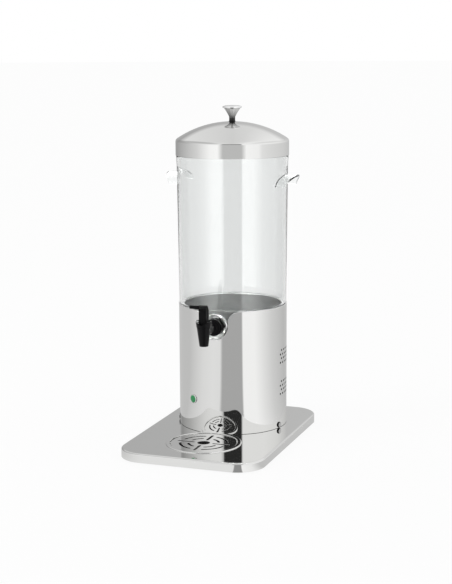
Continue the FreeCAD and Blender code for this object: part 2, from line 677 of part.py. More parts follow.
def make_cooler():
    """Cold plate, module, gasket, heat sink, the plate that carries them and their screws."""
    plate = turned("cold_disc", [
        ("0", "module_high"), ("cold_radius", "module_high"), ("cold_radius", "cold_top - 0.8"),
        ("cold_radius - 0.8", "cold_top"), ("0", "cold_top")], y="axis_back")
    keep(less("cold_plate", plate, at_four("cold_tapping", "1.25", "module_high - 1", "module_high + 7",
                                           "clamp_place")))
    keep(block("thermoelectric_module", "module_side", "module_side", "module_high - module_low",
               "0", "axis_back", "module_low"))

    foam = block("gasket_block", "61", "61", "module_high - module_low", "0", "axis_back", "module_low")
    window = block("gasket_window", "module_side + 1", "module_side + 1", "6", "0", "axis_back", "module_low - 1")
    keep(less("module_gasket", foam, [window] + at_four("gasket_hole", "1.4", "module_low - 1",
                                                        "module_high + 1", "clamp_place")))

    sink = new_body("sink_block", y="axis_back", z="fin_low")
    base = new_sketch(sink, "sink_outline", "XY_Plane", "module_low - sink_base - fin_low")
    outline(base, round_corners("sink_side / 2", "sink_side / 2", "1"))
    raised(sink, base, "sink_base")
    fin = new_sketch(sink, "fin_outline", "XY_Plane")
    left = "-8 * fin_pitch"
    outline(fin, [(left + " + fin_sheet / 2", "-sink_side / 2"), (left + " + fin_sheet / 2", "sink_side / 2"),
                  (left + " - fin_sheet / 2", "sink_side / 2"), (left + " - fin_sheet / 2", "-sink_side / 2")])
    blade = raised(sink, fin, "module_low - sink_base - fin_low + 0.5", "fin")
    in_line(sink, blade, 17, "fin_pitch", "X_Axis")
    low, high = "module_low - sink_base - 1", "module_low + 1"
    keep(less("heat_sink", sink, at_four("sink_clamp_hole", "1.4", low, high, "clamp_place")
              + at_four("sink_carrier_hole", "1.4", low, high, "carrier_place")))
    head = ("1.9", "module_low - sink_base - 2.4", "module_low - sink_base")
    group("clamp_screws", at_four("clamp_screw", "1.2", head[2], "module_high + 6", "clamp_place", head))

    disc = rod("carrier_disc", 80, 1.2, y="axis_back", z="module_low")
    tools = [block("carrier_window", "62", "62", "4", "0", "axis_back", "module_low - 1")]
    tools += at_four("carrier_hole", "2.1", "module_low - 1", "module_low + 3", "pillar_place")
    tools += at_four("carrier_tapping", "1.25", "module_low - 1", "module_low + 3", "carrier_place")
    keep(less("carrier_plate", disc, tools))
    group("carrier_screws", at_four("carrier_screw", "1.2", head[2], "module_low + 3", "carrier_place", head))


def make_pillars():
    """Pillars that carry the cooler and the well, with their screws from below and from above."""
    low, high = "plate_top", "module_low"
    stack = []
    for name, bottom, top in (("lower_pillar", low, high), ("upper_pillar", "module_low + 1.2", "liner_floor")):
        posts = at_four(name, "pillar_radius", bottom, top, "pillar_place")
        bores = at_four(name + "_bore", "2.05", bottom, top, "pillar_place")
        stack.append([less("%s_drilled_%d" % (name, index), post, [bore])
                      for index, (post, bore) in enumerate(zip(posts, bores))])
    group("lower_pillars", stack[0])
    group("upper_pillars", stack[1])
    under = ("3.5", "plate_top - plate_sheet - 2", "plate_top - plate_sheet")
    group("pillar_screws", at_four("pillar_screw", "2", under[2], "plate_top + 12", "pillar_place", under))
    above = ("3.5", "liner_floor + liner_sheet", "liner_floor + liner_sheet + 1.5")
    group("liner_screws", at_four("liner_screw", "2", "module_low - 14", above[1], "pillar_place", above))


BLADES = 7


def make_fan():
    """Axial fan under the fins: a frame with its spider and bearing, and the rotor."""
    middle = {"y": "axis_back"}
    frame = block("fan_block", "fan_side", "fan_side", "fan_height", "0", "axis_back", "fan_low")
    bore = rod("fan_opening", "fan_bore", "fan_height + 2", z="fan_low - 1", **middle)
    corners = at_four("fan_hole", "2.2", "fan_low - 1", "fan_low + fan_height + 1", "fan_screw_place")
    ring_frame = less("fan_ring", frame, [bore] + corners)
    cup = rod("fan_stator", "hub_radius - 1", 2.5, z="fan_low", **middle)
    tube = rod("fan_bearing", 4, 11, z="fan_low + 2", **middle)
    spokes = [block("fan_spoke_x", "2 * fan_bore + 1", "4", "2.5", "0", "axis_back", "fan_low"),
              block("fan_spoke_y", "4", "2 * fan_bore + 1", "2.5", "0", "axis_back", "fan_low")]
    whole = joined("fan_castings", [ring_frame, cup, tube] + spokes)
    shaft_hole = rod("fan_bearing_bore", 1.56, 14, z="fan_low + 0.8", **middle)
    keep(less("fan_frame", whole, [shaft_hole]))

    hub = turned("rotor_hub", [
        ("0", "fan_low + 1.2"), ("1.5", "fan_low + 1.2"), ("1.5", "fan_low + 21.5"),
        ("hub_radius - 1.5", "fan_low + 21.5"), ("hub_radius - 1.5", "fan_low + 3.5"),
        ("hub_radius", "fan_low + 3.5"), ("hub_radius", "fan_low + 22"),
        ("hub_radius - 1.2", "fan_low + 23.2", 1.2), ("0", "fan_low + 23.2")], **middle)
    swept = less("rotor_room", rod("rotor_tips", "fan_bore - 1.5", 17, z="fan_low + 4.5", **middle),
                 [rod("rotor_core", "hub_radius - 0.7", 19, z="fan_low + 3.5", **middle)])
    blades = []
    pitch_turn = Rotation(Vector(1, 0, 0), 52)
    for index in range(BLADES):
        turn = Rotation(UP, 360 * index / BLADES) * pitch_turn
        blade = part("Box", "rotor_blade_%d" % index, Length=24, Width=1.6, Height=30)
        middle_of_blade = Vector(size("hub_radius") - 2, -0.8, -15)
        centre = Vector(0, size("axis_back"), size("fan_low + 13"))
        blade.Placement = Placement(centre + turn.multVec(middle_of_blade), turn)
        bind(blade, Length="fan_bore - hub_radius + 4")
        blades.append(blade)
    trimmed = doc.addObject("Part::MultiCommon", "rotor_blades")
    trimmed.Shapes = [joined("rotor_blade_set", blades), swept]
    keep(joined("fan_rotor", [hub, trimmed]))

    head = ("3.4", "fan_low - 2.2", "fan_low")
    group("fan_screws", at_four("fan_screw", "1.9", "fan_low", "fin_low + 8", "fan_screw_place", head))


# Electrics: supply, inlet, switch and pilot lamp

def make_supply():
    """Power supply box with its terminal block, on the plate behind the middle."""
    box = new_body("power_supply", y="axis_back + 21", z="plate_top")
    case = new_sketch(box, "supply_outline", "XY_Plane")
    outline(case, round_corners("50", "23", "2"))
    raised(box, case, "36")
    ribs = new_sketch(box, "supply_vent", "XY_Plane", "36")
    outline(ribs, [("-38", "-15"), ("-36", "-15"), ("-36", "15"), ("-38", "15")])
    vent = sunk(box, ribs, "1.2", "vent")
    in_line(box, vent, 15, "5.3", "X_Axis")
    keep(box)

    strip = new_body("terminal_block", y="axis_back - 9", z="plate_top")
    foot = new_sketch(strip, "terminal_outline", "XY_Plane")
    outline(foot, round_corners("26", "6.9", "1"))
    raised(strip, foot, "14")
    wells = new_sketch(strip, "terminal_wells", "XY_Plane", "14")
    ring(wells, "-20", "0", "2.4")
    well = sunk(strip, wells, "6", "well")
    in_line(strip, well, 6, "8", "X_Axis")
    keep(strip)


def make_inlet():
    """Mains inlet at the back with three blades in its socket."""
    face = "axis_back + housing_radius"
    flange = block("inlet_flange", "31", "8", "24", "0", face, "inlet_level - 12")
    behind = rod("inlet_shell_side", "housing_radius + 0.05", 30, y="axis_back", z="inlet_level - 15")
    front = less("inlet_bezel", flange, [behind])
    barrel = block("inlet_barrel", "27", "26", "19.4", "0", face + " - 11", "inlet_level - 9.7")
    socket = block("inlet_socket", "24.4", "30", "16.6", "0", face, "inlet_level - 8.3")
    keep(less("power_inlet", joined("inlet_body", [front, barrel]), [socket]))
    blades = []
    for index, (x, up) in enumerate((("-7", "-4"), ("0", "0"), ("7", "-4"))):
        blades.append(block("inlet_blade_%d" % index, "2", "17.5", "4", x, face + " - 11",
                            "inlet_level + " + up))
    group("inlet_blades", blades)


ROCKER_TILT = 10


def make_switch():
    """Rocker switch over the inlet; the rocker lies on its lower stop, tilted about its trunnions."""
    face = "axis_back + housing_radius"
    pivot = face + " - 3.6"
    flange = block("switch_flange", "23", "6", "31", "0", face, "switch_level - 15.5")
    behind = rod("switch_shell_side", "housing_radius + 0.05", 40, y="axis_back", z="switch_level - 20")
    front = less("switch_bezel", flange, [behind])
    barrel = block("switch_barrel", "19", "20", "26.4", "0", face + " - 8", "switch_level - 13.2")
    room = block("switch_room", "15", "15.5", "22.8", "0", face + " - 4.2", "switch_level - 11.4")
    bearing = rod("switch_bearing", 1.56, 18.2, Rotation(Vector(0, 1, 0), 90), x="-9.1", y=pivot, z="switch_level")
    keep(less("switch_frame", joined("switch_body", [front, barrel]), [room, bearing]))

    tilt = Rotation(Vector(1, 0, 0), -ROCKER_TILT)
    key = doc.addObject("PartDesign::Body", "rocker_key")
    side = new_sketch(key, "rocker_side", "YZ_Plane")
    outline(side, [("-4.5", "-8"), ("5.5", "-10"), ("4.3", "0", "-42"), ("5.5", "10", "-42"), ("-4.5", "8")])
    raised(key, side, "14.4", both=True)
    key.Placement = Placement(Vector(), tilt)
    bind(key, y=pivot, z="switch_level")
    trunnion = rod("rocker_trunnion", 1.5, 17.6, Rotation(Vector(0, 1, 0), 90), x="-8.8", y=pivot, z="switch_level")
    keep(joined("switch_rocker", [key, trunnion]))


def make_lamp():
    """Pilot lamp: bezel, domed lens, lamp body and the nut inside the shell."""
    tip = outward("-lamp_angle")

    def lamp_piece(label, corners):
        piece = turned(label, corners)
        piece.Placement = Placement(Vector(), tip)
        return keep(bind(piece, **radial("-lamp_angle", "housing_radius", "lamp_level")))

    lamp_piece("lamp_bezel", [("5", "-14"), ("5.9", "-14"), ("5.9", "0.1"), ("7", "0.1"), ("7", "0.8"),
                              ("6.2", "1.6", 0.8), ("5.7", "1.6"), ("5.7", "0.4"), ("5", "0.4")])
    lamp_piece("lamp_lens", [("0", "-6"), ("4.9", "-6"), ("4.9", "0.4"), ("5.6", "0.4"), ("5.6", "1.4"),
                             ("0", "2.7", cap("5.6", "1.3"))])
    lamp_piece("lamp_body", [("0", "-24"), ("4.8", "-24"), ("4.8", "-6"), ("0", "-6")])
    nut = new_body("lamp_nut")
    flats = new_sketch(nut, "lamp_nut_outline", "XY_Plane", "-4.6")
    corner = "9"
    outline(flats, [("%s * cos(%d)" % (corner, turn), "%s * sin(%d)" % (corner, turn))
                    for turn in range(0, 360, 60)])
    ring(flats, "0", "0", "5.95")
    raised(nut, flats, "3")
    nut.Placement = Placement(Vector(), tip)
    keep(bind(nut, **radial("-lamp_angle", "housing_radius", "lamp_level")))


# Tank with its handles and floor

def make_tank():
    """Clear tapered tank whose lower part stands in the well, with a boss for the tap."""
    inner_low, inner_high = "tank_low - tank_wall", "tank_high - tank_wall"
    tank = turned("tank", [
        ("port_radius", "tank_bottom"), ("tank_nest - 3", "tank_bottom"), ("tank_nest", "tank_bottom + 3", 3),
        ("tank_nest", "tank_shoulder"), ("tank_low - 1", "tank_shoulder"), ("tank_low", "tank_shoulder + 1", 1),
        ("tank_high - 0.1", "bead_low"), ("tank_bead", "bead_low + 0.8"), ("tank_bead", "bead_high"),
        ("tank_high", "bead_high"), ("tank_high", "tank_top - 1"), ("tank_high - 1", "tank_top", 1),
        (inner_high + " + 1", "tank_top"), (inner_high, "tank_top - 1", 1),
        (inner_low, "tank_shoulder + 4"), ("tank_nest - tank_wall", "tank_shoulder - 3"),
        ("tank_nest - tank_wall", "tank_bottom + tank_floor"), ("port_radius", "tank_bottom + tank_floor")],
        y="axis_back")
    disc = new_sketch(tank, "boss_outline", "XZ_Plane", "boss_seat")
    ring(disc, "0", "tap_level", "boss_radius")
    raised(tank, disc, "boss_face - boss_seat", "boss")
    rounded(tank, "1", lambda edge: edge.BoundBox.YLength < 1e-6
            and abs(edge.BoundBox.YMin + size("boss_face")) < 1e-6, "boss_edge")
    hole = new_sketch(tank, "boss_hole", "XZ_Plane", "boss_face")
    ring(hole, "0", "tap_level", "thread_radius + 0.3")
    sunk(tank, hole, "30", "bore")
    keep(tank)

    keep(turned("transfer_plate", [
        ("0", "tank_bottom"), ("port_radius - 1.2", "tank_bottom"),
        ("port_radius - 1.2", "tank_bottom + tank_floor + 1"), ("51", "tank_bottom + tank_floor + 1"),
        ("51", "tank_bottom + tank_floor + 2"), ("port_radius - 2.4", "tank_bottom + tank_floor + 2"),
        ("port_radius - 2.4", "tank_bottom + 1.2"), ("0", "tank_bottom + 1.2")], y="axis_back"))
    keep(turned("transfer_seal", [
        ("port_radius - 0.9", "tank_bottom + tank_floor"), ("50.5", "tank_bottom + tank_floor"),
        ("50.5", "tank_bottom + tank_floor + 1"), ("port_radius - 0.9", "tank_bottom + tank_floor + 1")],
        y="axis_back"))


def oval_bar(label, major, minor, length, way, tip, **place):
    """A bar of elliptical section along way."""
    curve = part("Ellipse", label + "_oval", tip, MajorRadius=major, MinorRadius=minor, **place)
    bar = doc.addObject("Part::Extrusion", label)
    bar.Base = curve
    bar.DirMode = "Custom"
    bar.Dir = way
    bar.Solid = True
    return bind(bar, LengthFwd=length)


def make_handles():
    """Awning-shaped clear handles: an arched sheet that runs out of the wall to an oval lip."""
    sideways = Rotation(Vector(1, 1, 1), 120)
    foot = "handle_top - handle_rise"
    place = {"y": "axis_back", "z": foot, "x": "70"}
    outside = oval_bar("handle_outside", "handle_half", "handle_rise", "50", Vector(1, 0, 0), sideways, **place)
    inside = oval_bar("handle_inside", "handle_half - handle_wall", "handle_rise - handle_wall", "50",
                      Vector(1, 0, 0), sideways, **place)
    plan = oval_bar("handle_plan", "handle_half + 1", "handle_reach - tank_high", "handle_rise + 4", UP,
                    Rotation(UP, 90), x="tank_high", y="axis_back", z=foot + " + 0.2")
    arch = doc.addObject("Part::MultiCommon", "handle_arch")
    arch.Shapes = [outside, plan]
    wall = part("Cone", "handle_wall_side", Radius1="tank_low + 0.05", Radius2="tank_high + 0.05",
                Height="bead_low - tank_shoulder", y="axis_back", z="tank_shoulder")
    hollow = less("handle_sheet", arch, [inside])
    right = keep(less("handle_right", hollow, [wall]))
    left = doc.addObject("Part::Mirroring", "handle_left")
    left.Label = "handle_left"
    left.Source = right
    left.Normal = Vector(1, 0, 0)
    keep(left)


# Tap

def make_tap():
    """Black lever tap: body with spout, shank and flange, bonnet, seals and lock nut."""
    seat = "axis_back - boss_face + tap_forward"
    inside = "axis_back - boss_seat + tap_forward"
    flange = "(%s - seal_sheet)" % seat
    along = Rotation(Vector(1, 0, 0), -90)
    spout = turned("spout_cone", [
        ("0", "spout_low"), ("spout_tip - 0.6", "spout_low"), ("spout_tip", "spout_low + 0.6", 0.6),
        ("spout_wide", "spout_high - 1"), ("spout_wide - 1", "spout_high", 1), ("0", "spout_high")],
        y="-tap_forward")

    def shank(label, radius, begin, finish):
        return rod(label, radius, "%s - (%s)" % (finish, begin), along, y="-tap_forward + " + begin, z="tap_level")

    solids = [spout, shank("shank_neck", "shank_radius", "0", flange),
              shank("shank_thread", "thread_radius", flange, inside + " + 14"),
              shank("flange_rim", "flange_radius", flange + " - 2.4", flange),
              shank("flange_step", "flange_radius - 2.6", flange + " - 4.2", flange + " - 2.4"),
              shank("flange_collar", "flange_radius - 4.6", flange + " - 6.4", flange + " - 4.2")]
    chamber = turned("valve_room", [
        ("0", "spout_low - 1"), ("spout_bore", "spout_low - 1"), ("spout_bore", "seat_low"),
        ("valve_chamber", "seat_high"), ("valve_chamber", "spout_high + 1"), ("0", "spout_high + 1")],
        y="-tap_forward")
    channel = shank("shank_channel", "spout_bore", "0", inside + " + 20")
    keep(less("tap_body", joined("tap_castings", solids), [chamber, channel]))

    def washer(label, outer, inner, begin, thickness):
        end = "%s + %s" % (begin, thickness)
        tube = shank(label + "_disc", outer, begin, end)
        return keep(less(label, tube, [shank(label + "_bore", inner, begin + " - 1", end + " + 1")]))

    washer("tap_seal_outer", "12.4", "thread_radius + 0.05", flange, "seal_sheet")
    washer("tap_seal_inner", "12.4", "thread_radius + 0.05", inside, "seal_sheet")
    nut = new_body("lock_nut_hexagon")
    flats = new_sketch(nut, "lock_nut_outline", "XY_Plane")
    outline(flats, [("14 * cos(%d)" % turn, "14 * sin(%d)" % turn) for turn in range(0, 360, 60)])
    raised(nut, flats, "7")
    nut.Placement = Placement(Vector(), along)
    bind(nut, y="-tap_forward + %s + seal_sheet" % inside, z="tap_level")
    bore = shank("lock_nut_bore", "thread_radius + 0.05", inside, inside + " + 12")
    keep(less("tap_lock_nut", nut, [bore]))

    bonnet = turned("tap_bonnet", [
        ("stem_radius + 0.06", "seat_high + 13"), ("valve_chamber - 0.05", "seat_high + 13"),
        ("valve_chamber - 0.05", "spout_high + 0.05"), ("bonnet_wide - 1.2", "spout_high + 0.05"),
        ("bonnet_wide", "bonnet_top"), ("stem_radius + 0.06", "bonnet_top")], y="-tap_forward")
    vee = new_sketch(bonnet, "bonnet_vee")
    tip = "bonnet_wide + 0.4"
    outline(vee, [("0", "bonnet_vee"), (tip, "bonnet_top + 0.6"), (tip, "bonnet_top + 6"),
                  ("-(%s)" % tip, "bonnet_top + 6"), ("-(%s)" % tip, "bonnet_top + 0.6")])
    sunk(bonnet, vee, "40", "vee_cut", both=True)
    keep(bonnet)


def make_valve():
    """Stem with its silicone cup and bellows, the lever's pin, and the lever."""
    centre = {"y": "-tap_forward"}
    across = Rotation(Vector(0, 1, 0), 90)
    stem = turned("stem_rod", [
        ("0", "seat_low + 1.5"), ("stem_radius", "seat_low + 1.5"), ("stem_radius", "lever_pin_level + 2.4"),
        ("stem_radius - 0.8", "lever_pin_level + 3.2", 0.8), ("0", "lever_pin_level + 3.2")], **centre)
    eye = rod("stem_eye", "lever_pin_radius", 8, across, x="-4", z="lever_pin_level", **centre)
    keep(less("tap_stem", stem, [eye]))
    keep(turned("seat_cup", [
        ("0", "seat_low + 0.3"), ("3.9", "seat_low + 0.3"), ("5.8", "seat_high + 0.7"), ("5.4", "seat_high + 2.6"),
        ("stem_radius", "seat_high + 2.6"), ("stem_radius", "seat_low + 1.5"), ("0", "seat_low + 1.5")], **centre))
    keep(turned("seat_bellows", [
        ("3.4", "seat_high + 5.8"), ("4.4", "seat_high + 5.8"), ("5.4", "seat_high + 7.5"),
        ("4.2", "seat_high + 9.2"), ("5.6", "seat_high + 10.9"), ("5.6", "seat_high + 13"),
        ("4.6", "seat_high + 13"), ("4.6", "seat_high + 11.2"), ("3.2", "seat_high + 9.2"),
        ("4.4", "seat_high + 7.5")], **centre))
    keep(rod("lever_pin", "lever_pin_radius", "2 * lever_hub - 0.6", across, x="-lever_hub + 0.3",
             z="lever_pin_level", **centre))

    lever = new_body("lever_moulding", **centre)
    side = new_sketch(lever, "hub_side", "YZ_Plane")
    slope = "(paddle_tip - paddle_root) / lever_reach"
    under = "paddle_root - paddle_sheet"
    outline(side, [
        ("-lever_hub", "bonnet_vee + 0.4"), ("lever_hub", "bonnet_vee + 0.4"), ("lever_hub", "paddle_root - 12"),
        ("lever_hub - 4.5", "paddle_root - (lever_hub - 4.5) * " + slope, 13), ("-2", "paddle_root + 2 * " + slope),
        ("-lever_hub - 1.2", under + " + (lever_hub + 1.2) * " + slope), ("-lever_hub", under + " - 3", 4)])
    raised(lever, side, "2 * lever_hub", "hub", both=True)
    flat = new_sketch(lever, "paddle_side", "YZ_Plane")
    tip = "-lever_reach"
    outline(flat, [
        (tip, "paddle_tip - paddle_sheet + 1"), (tip + " + 1", "paddle_tip - paddle_sheet + 0.8", 1),
        ("-3", under + " + 3 * " + slope), ("-3", "paddle_root + 3 * " + slope),
        (tip + " + 1.2", "paddle_tip - 0.2"), (tip, "paddle_tip - 1.4", 1.2)])
    raised(lever, flat, "2 * lever_half", "paddle", both=True)
    vee = new_sketch(lever, "hub_vee")
    outline(vee, [("0", "bonnet_vee + 0.35"), ("-8", "bonnet_vee + 4.5"), ("-8", "bonnet_vee - 4"),
                  ("8", "bonnet_vee - 4"), ("8", "bonnet_vee + 4.5")])
    sunk(lever, vee, "40", "vee_cut", both=True)
    tools = [block("lever_slot_low", "2 * stem_radius + 0.4", "9.4", "7.5", "0", "-tap_forward - 1.4",
                   "lever_pin_level - 7.5"),
             block("lever_slot_high", "2 * stem_radius + 0.4", "7.5", "4.1", "0", "-tap_forward + 0.55",
                   "lever_pin_level - 0.05"),
             rod("lever_bore", "lever_pin_radius + 0.06", 20, across, x="-10", z="lever_pin_level", **centre)]
    keep(less("tap_lever", lever, tools))


# Lid

def make_lid():
    """Domed lid with its knob, the knob's screw and washer, and the seal that sits on the tank."""
    middle = {"y": "axis_back"}
    centre = "(lid_apex - lid_sphere)"
    inner = "(lid_radius - lid_sheet)"
    ball = "(lid_sphere - lid_sheet)"
    corner = "%s + sqrt(lid_sphere ^ 2 - lid_radius ^ 2)" % centre
    inner_corner = "%s + sqrt(%s ^ 2 - %s ^ 2)" % (centre, ball, inner)
    hole = "2.3"
    lid = turned("lid_dome", [
        ("lid_radius", "lid_low"), ("lid_radius", corner),
        (hole, "%s + sqrt(lid_sphere ^ 2 - %s ^ 2)" % (centre, hole), "lid_sphere"),
        (hole, "%s + sqrt(%s ^ 2 - %s ^ 2)" % (centre, ball, hole)),
        (inner, inner_corner, "-" + ball), (inner, "lid_low")], **middle)
    rounded(lid, "lid_shoulder", lambda edge: abs(edge.BoundBox.ZMin - size(corner)) < 1e-4
            and edge.BoundBox.ZLength < 1e-4, "shoulder")
    rounded(lid, "lid_shoulder - lid_sheet", lambda edge: abs(edge.BoundBox.ZMin - size(inner_corner)) < 1e-4
            and edge.BoundBox.ZLength < 1e-4, "inner_shoulder")
    keep(lid)

    keep(turned("lid_knob", [
        ("2", "lid_apex + 0.02"), ("knob_base", "lid_apex + 0.02"), ("knob_base", "lid_apex + 1.2"),
        ("knob_waist", "knob_waist_level", "-9"), ("knob_rim - 0.8", "knob_rim_low", "-18.5"),
        ("knob_rim", "knob_rim_low + 0.8", 0.8), ("knob_rim", "knob_rim_high - 0.8"),
        ("knob_rim - 0.8", "knob_rim_high", 0.8), ("0", "knob_top", cap("knob_rim - 0.8", "knob_top - knob_rim_high")),
        ("0", "lid_apex + 13"), ("2", "lid_apex + 12")], **middle))
    keep(turned("knob_washer", [
        ("2.1", "lid_apex - 2.05"), ("6", "lid_apex - 2.05"), ("6", "lid_apex - 0.95"), ("2.1", "lid_apex - 0.95")],
        **middle))
    keep(turned("knob_screw", [
        ("0", "lid_apex - 4.6"), ("2.8", "lid_apex - 4.6"), ("3.7", "lid_apex - 3.7", 0.95),
        ("3.7", "lid_apex - 2.05"), ("1.95", "lid_apex - 2.05"), ("1.95", "lid_apex + 11"),
        ("0", "lid_apex + 11")], **middle))
    keep(turned("lid_seal", [
        ("tank_high - tank_wall - 0.4", "tank_top + 0.1"), (inner + " - 0.3", "tank_top + 0.1"),
        (inner + " - 0.3", "tank_top + 2.1"), ("tank_high - tank_wall - 0.4", "tank_top + 2.1")], **middle))
    keep(turned("lid_seat_ring", [
        ("tank_high - tank_wall - 0.8", "tank_top + 2.1"), (inner + " - 0.05", "tank_top + 2.1"),
        (inner + " - 0.05", "tank_top + 5"), (inner + " - 0.85", "tank_top + 5"),
        (inner + " - 0.85", "tank_top + 2.9"), ("tank_high - tank_wall - 0.8", "tank_top + 2.9")], **middle))


def write_pieces():
    """Check every object and every piece, then write one file per piece."""
    doc.recompute()
    for thing in doc.Objects:
        if "Invalid" in thing.State or "Error" in thing.State:
            raise ValueError("%s is %s" % (thing.Label, thing.State))
    os.makedirs("parts", exist_ok=True)
    for piece in PIECES:
        shape = piece.Shape
        if shape.isNull() or not shape.isValid() or not shape.Solids:
            raise ValueError("%s has no sound shape" % piece.Label)
        shape.exportStep("parts/%s.step" % piece.Label)
        print("%-22s solids %d  volume %10.1f" % (piece.Label, len(shape.Solids), shape.Volume))
    print("pieces", len(PIECES))


make_base()
make_tray()
make_housing()
make_well()
make_cooler()
make_pillars()
make_fan()
make_supply()
make_inlet()
make_switch()
make_lamp()
make_tank()
make_handles()
make_tap()
make_valve()
make_lid()
write_pieces()
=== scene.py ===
import math

import bmesh
import bpy
import numpy as np
from bpy.props import FloatProperty, FloatVectorProperty, IntProperty, PointerProperty
from mathutils import Matrix, Vector
from mathutils.geometry import delaunay_2d_cdt


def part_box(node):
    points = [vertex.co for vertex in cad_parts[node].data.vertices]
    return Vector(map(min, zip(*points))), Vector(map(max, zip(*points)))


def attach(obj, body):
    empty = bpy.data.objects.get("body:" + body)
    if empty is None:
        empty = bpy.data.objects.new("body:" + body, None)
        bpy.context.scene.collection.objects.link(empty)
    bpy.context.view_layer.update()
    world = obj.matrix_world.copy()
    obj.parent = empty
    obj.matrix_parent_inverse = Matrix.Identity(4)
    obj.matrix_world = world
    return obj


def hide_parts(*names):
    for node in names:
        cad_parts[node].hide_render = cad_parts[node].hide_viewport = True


bl_info = {
    "name": "Drink dispenser",
    "version": (1, 0, 0),
    "blender": (4, 5, 0),
    "location": "View3D > Sidebar > Dispenser",
    "description": "Dresses the packed parts of a counter-top drink dispenser and sets its studio",
    "category": "Object",
}

# Shapes are worked out in millimetres and go into the meshes in metres.
MM = 0.001
# Points closer than this are one point, and edges shorter than the second value go, in metres.
WELD = 3e-6
SLIVER = 1e-7
# Points of a flat pattern closer than this are one point, in millimetres.
FLAT_WELD = 1e-5
# A face belongs to a rolled sheet when its normal is within about 16 degrees of the sheet's.
SAME_WAY = 0.96
# Edges sharper than this get a bevel, in degrees.
BEVEL_FROM = 35
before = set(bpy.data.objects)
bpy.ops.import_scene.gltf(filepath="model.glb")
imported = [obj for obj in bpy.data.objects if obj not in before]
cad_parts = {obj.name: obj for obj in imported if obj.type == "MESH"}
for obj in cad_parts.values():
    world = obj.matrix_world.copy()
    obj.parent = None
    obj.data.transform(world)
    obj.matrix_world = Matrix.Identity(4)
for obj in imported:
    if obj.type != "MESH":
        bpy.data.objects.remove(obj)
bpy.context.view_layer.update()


def span(node):
    """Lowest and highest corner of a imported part, in millimetres."""
    low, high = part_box(node)
    return np.array(low) / MM, np.array(high) / MM


def middle(node):
    """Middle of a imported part's box, in millimetres."""
    low, high = span(node)
    return (low + high) / 2


shell_low, shell_high = span("housing_shell")
AXIS = middle("housing_shell")[1]
SHELL_RADIUS = (shell_high[0] - shell_low[0]) / 2
SPOUT = middle("tap_stem")[1]
TAP_LEVEL = middle("tap_seal_outer")[2]
tank_low, tank_high = span("tank")
lid_low, lid_high = span("lid_dome")
knob_low, knob_high = span("lid_knob")


# Settings that a user would change

def length(name, description, millimetres):
    """A length shown in the scene's unit."""
    return FloatProperty(name=name, description=description, default=millimetres * MM, unit="LENGTH",
                         precision=5)


def colour(name, description, value):
    """A colour with a picker."""
    return FloatVectorProperty(name=name, description=description, default=value, subtype="COLOR", min=0,
                               max=1)


def turn(name, description, degrees):
    """An angle shown in degrees."""
    return FloatProperty(name=name, description=description, default=math.radians(degrees), unit="ROTATION")


class FinishSettings(bpy.types.PropertyGroup):
    """Colours of the finishes."""
    steel: colour("Polished steel", "Mirror-polished stainless steel", (0.80, 0.80, 0.79))
    satin: colour("Satin steel", "Brushed stainless steel", (0.55, 0.55, 0.55))
    clear: colour("Clear plastic", "Tint of the tank and its handles", (0.905, 0.914, 0.911))
    black: colour("Black plastic", "Tap and electrical parts", (0.004, 0.004, 0.0045))
    lever: colour("Lever", "Tap lever", (0.007, 0.007, 0.0075))
    lamp: colour("Lamp", "Lens of the pilot lamp", (0.008, 0.17, 0.05))


class ShapeSettings(bpy.types.PropertyGroup):
    """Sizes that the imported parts' boxes don't give."""
    plate_corner: length("Plate corner", "Corner radius of the base plate", 42)
    plate_edge: length("Plate edge", "Rounding of the plate's top edge", 2.6)
    notch_half: length("Notch", "Half width of the notch for the tap", 20.5)
    notch_flare: length("Notch mouth", "Radius of the notch's mouth", 16)
    vent_radius: length("Vent", "Radius of a vent hole", 1.75)
    vent_turn: turn("Vent step", "Angle between vents in a row", 5.3)
    vent_start: turn("First vent", "Angle of the first vents from the front", 79.8)
    lamp_turn: turn("Lamp", "Angle of the lamp from the front", -27.1)
    screw_turn: turn("Side screw", "Angle of the side screws from the front", 76.7)
    around: IntProperty(name="Steps", description="Steps round a turned piece", default=160, min=32, max=512)


class StageSettings(bpy.types.PropertyGroup):
    """Camera and studio."""
    eye: FloatVectorProperty(name="Camera", description="Place of the camera", subtype="TRANSLATION",
                             default=(0.72706, -2.01005, 0.61516), unit="LENGTH")
    yaw: turn("Yaw", "Turn of the camera to the left", 19.683)
    dip: turn("Dip", "Tilt of the camera below the horizon", 10.137)
    roll: turn("Roll", "Roll of the camera", -0.275)
    lens: FloatProperty(name="Lens", description="Focal length over the sensor's width", default=86.83,
                        unit="CAMERA")
    fill: FloatProperty(name="Fill", description="Strength of the even light", default=0.9, min=0, max=4)


# Meshes

def quads(rows, columns, close_rows, close_columns):
    """Faces of a grid of points, as rows of four indices."""
    i = np.arange(rows if close_rows else rows - 1)[:, None]
    j = np.arange(columns if close_columns else columns - 1)[None, :]
    corner = [(i + di) % rows * columns + (j + dj) % columns for di, dj in ((0, 0), (0, 1), (1, 1), (1, 0))]
    return np.stack(corner, -1).reshape(-1, 4)


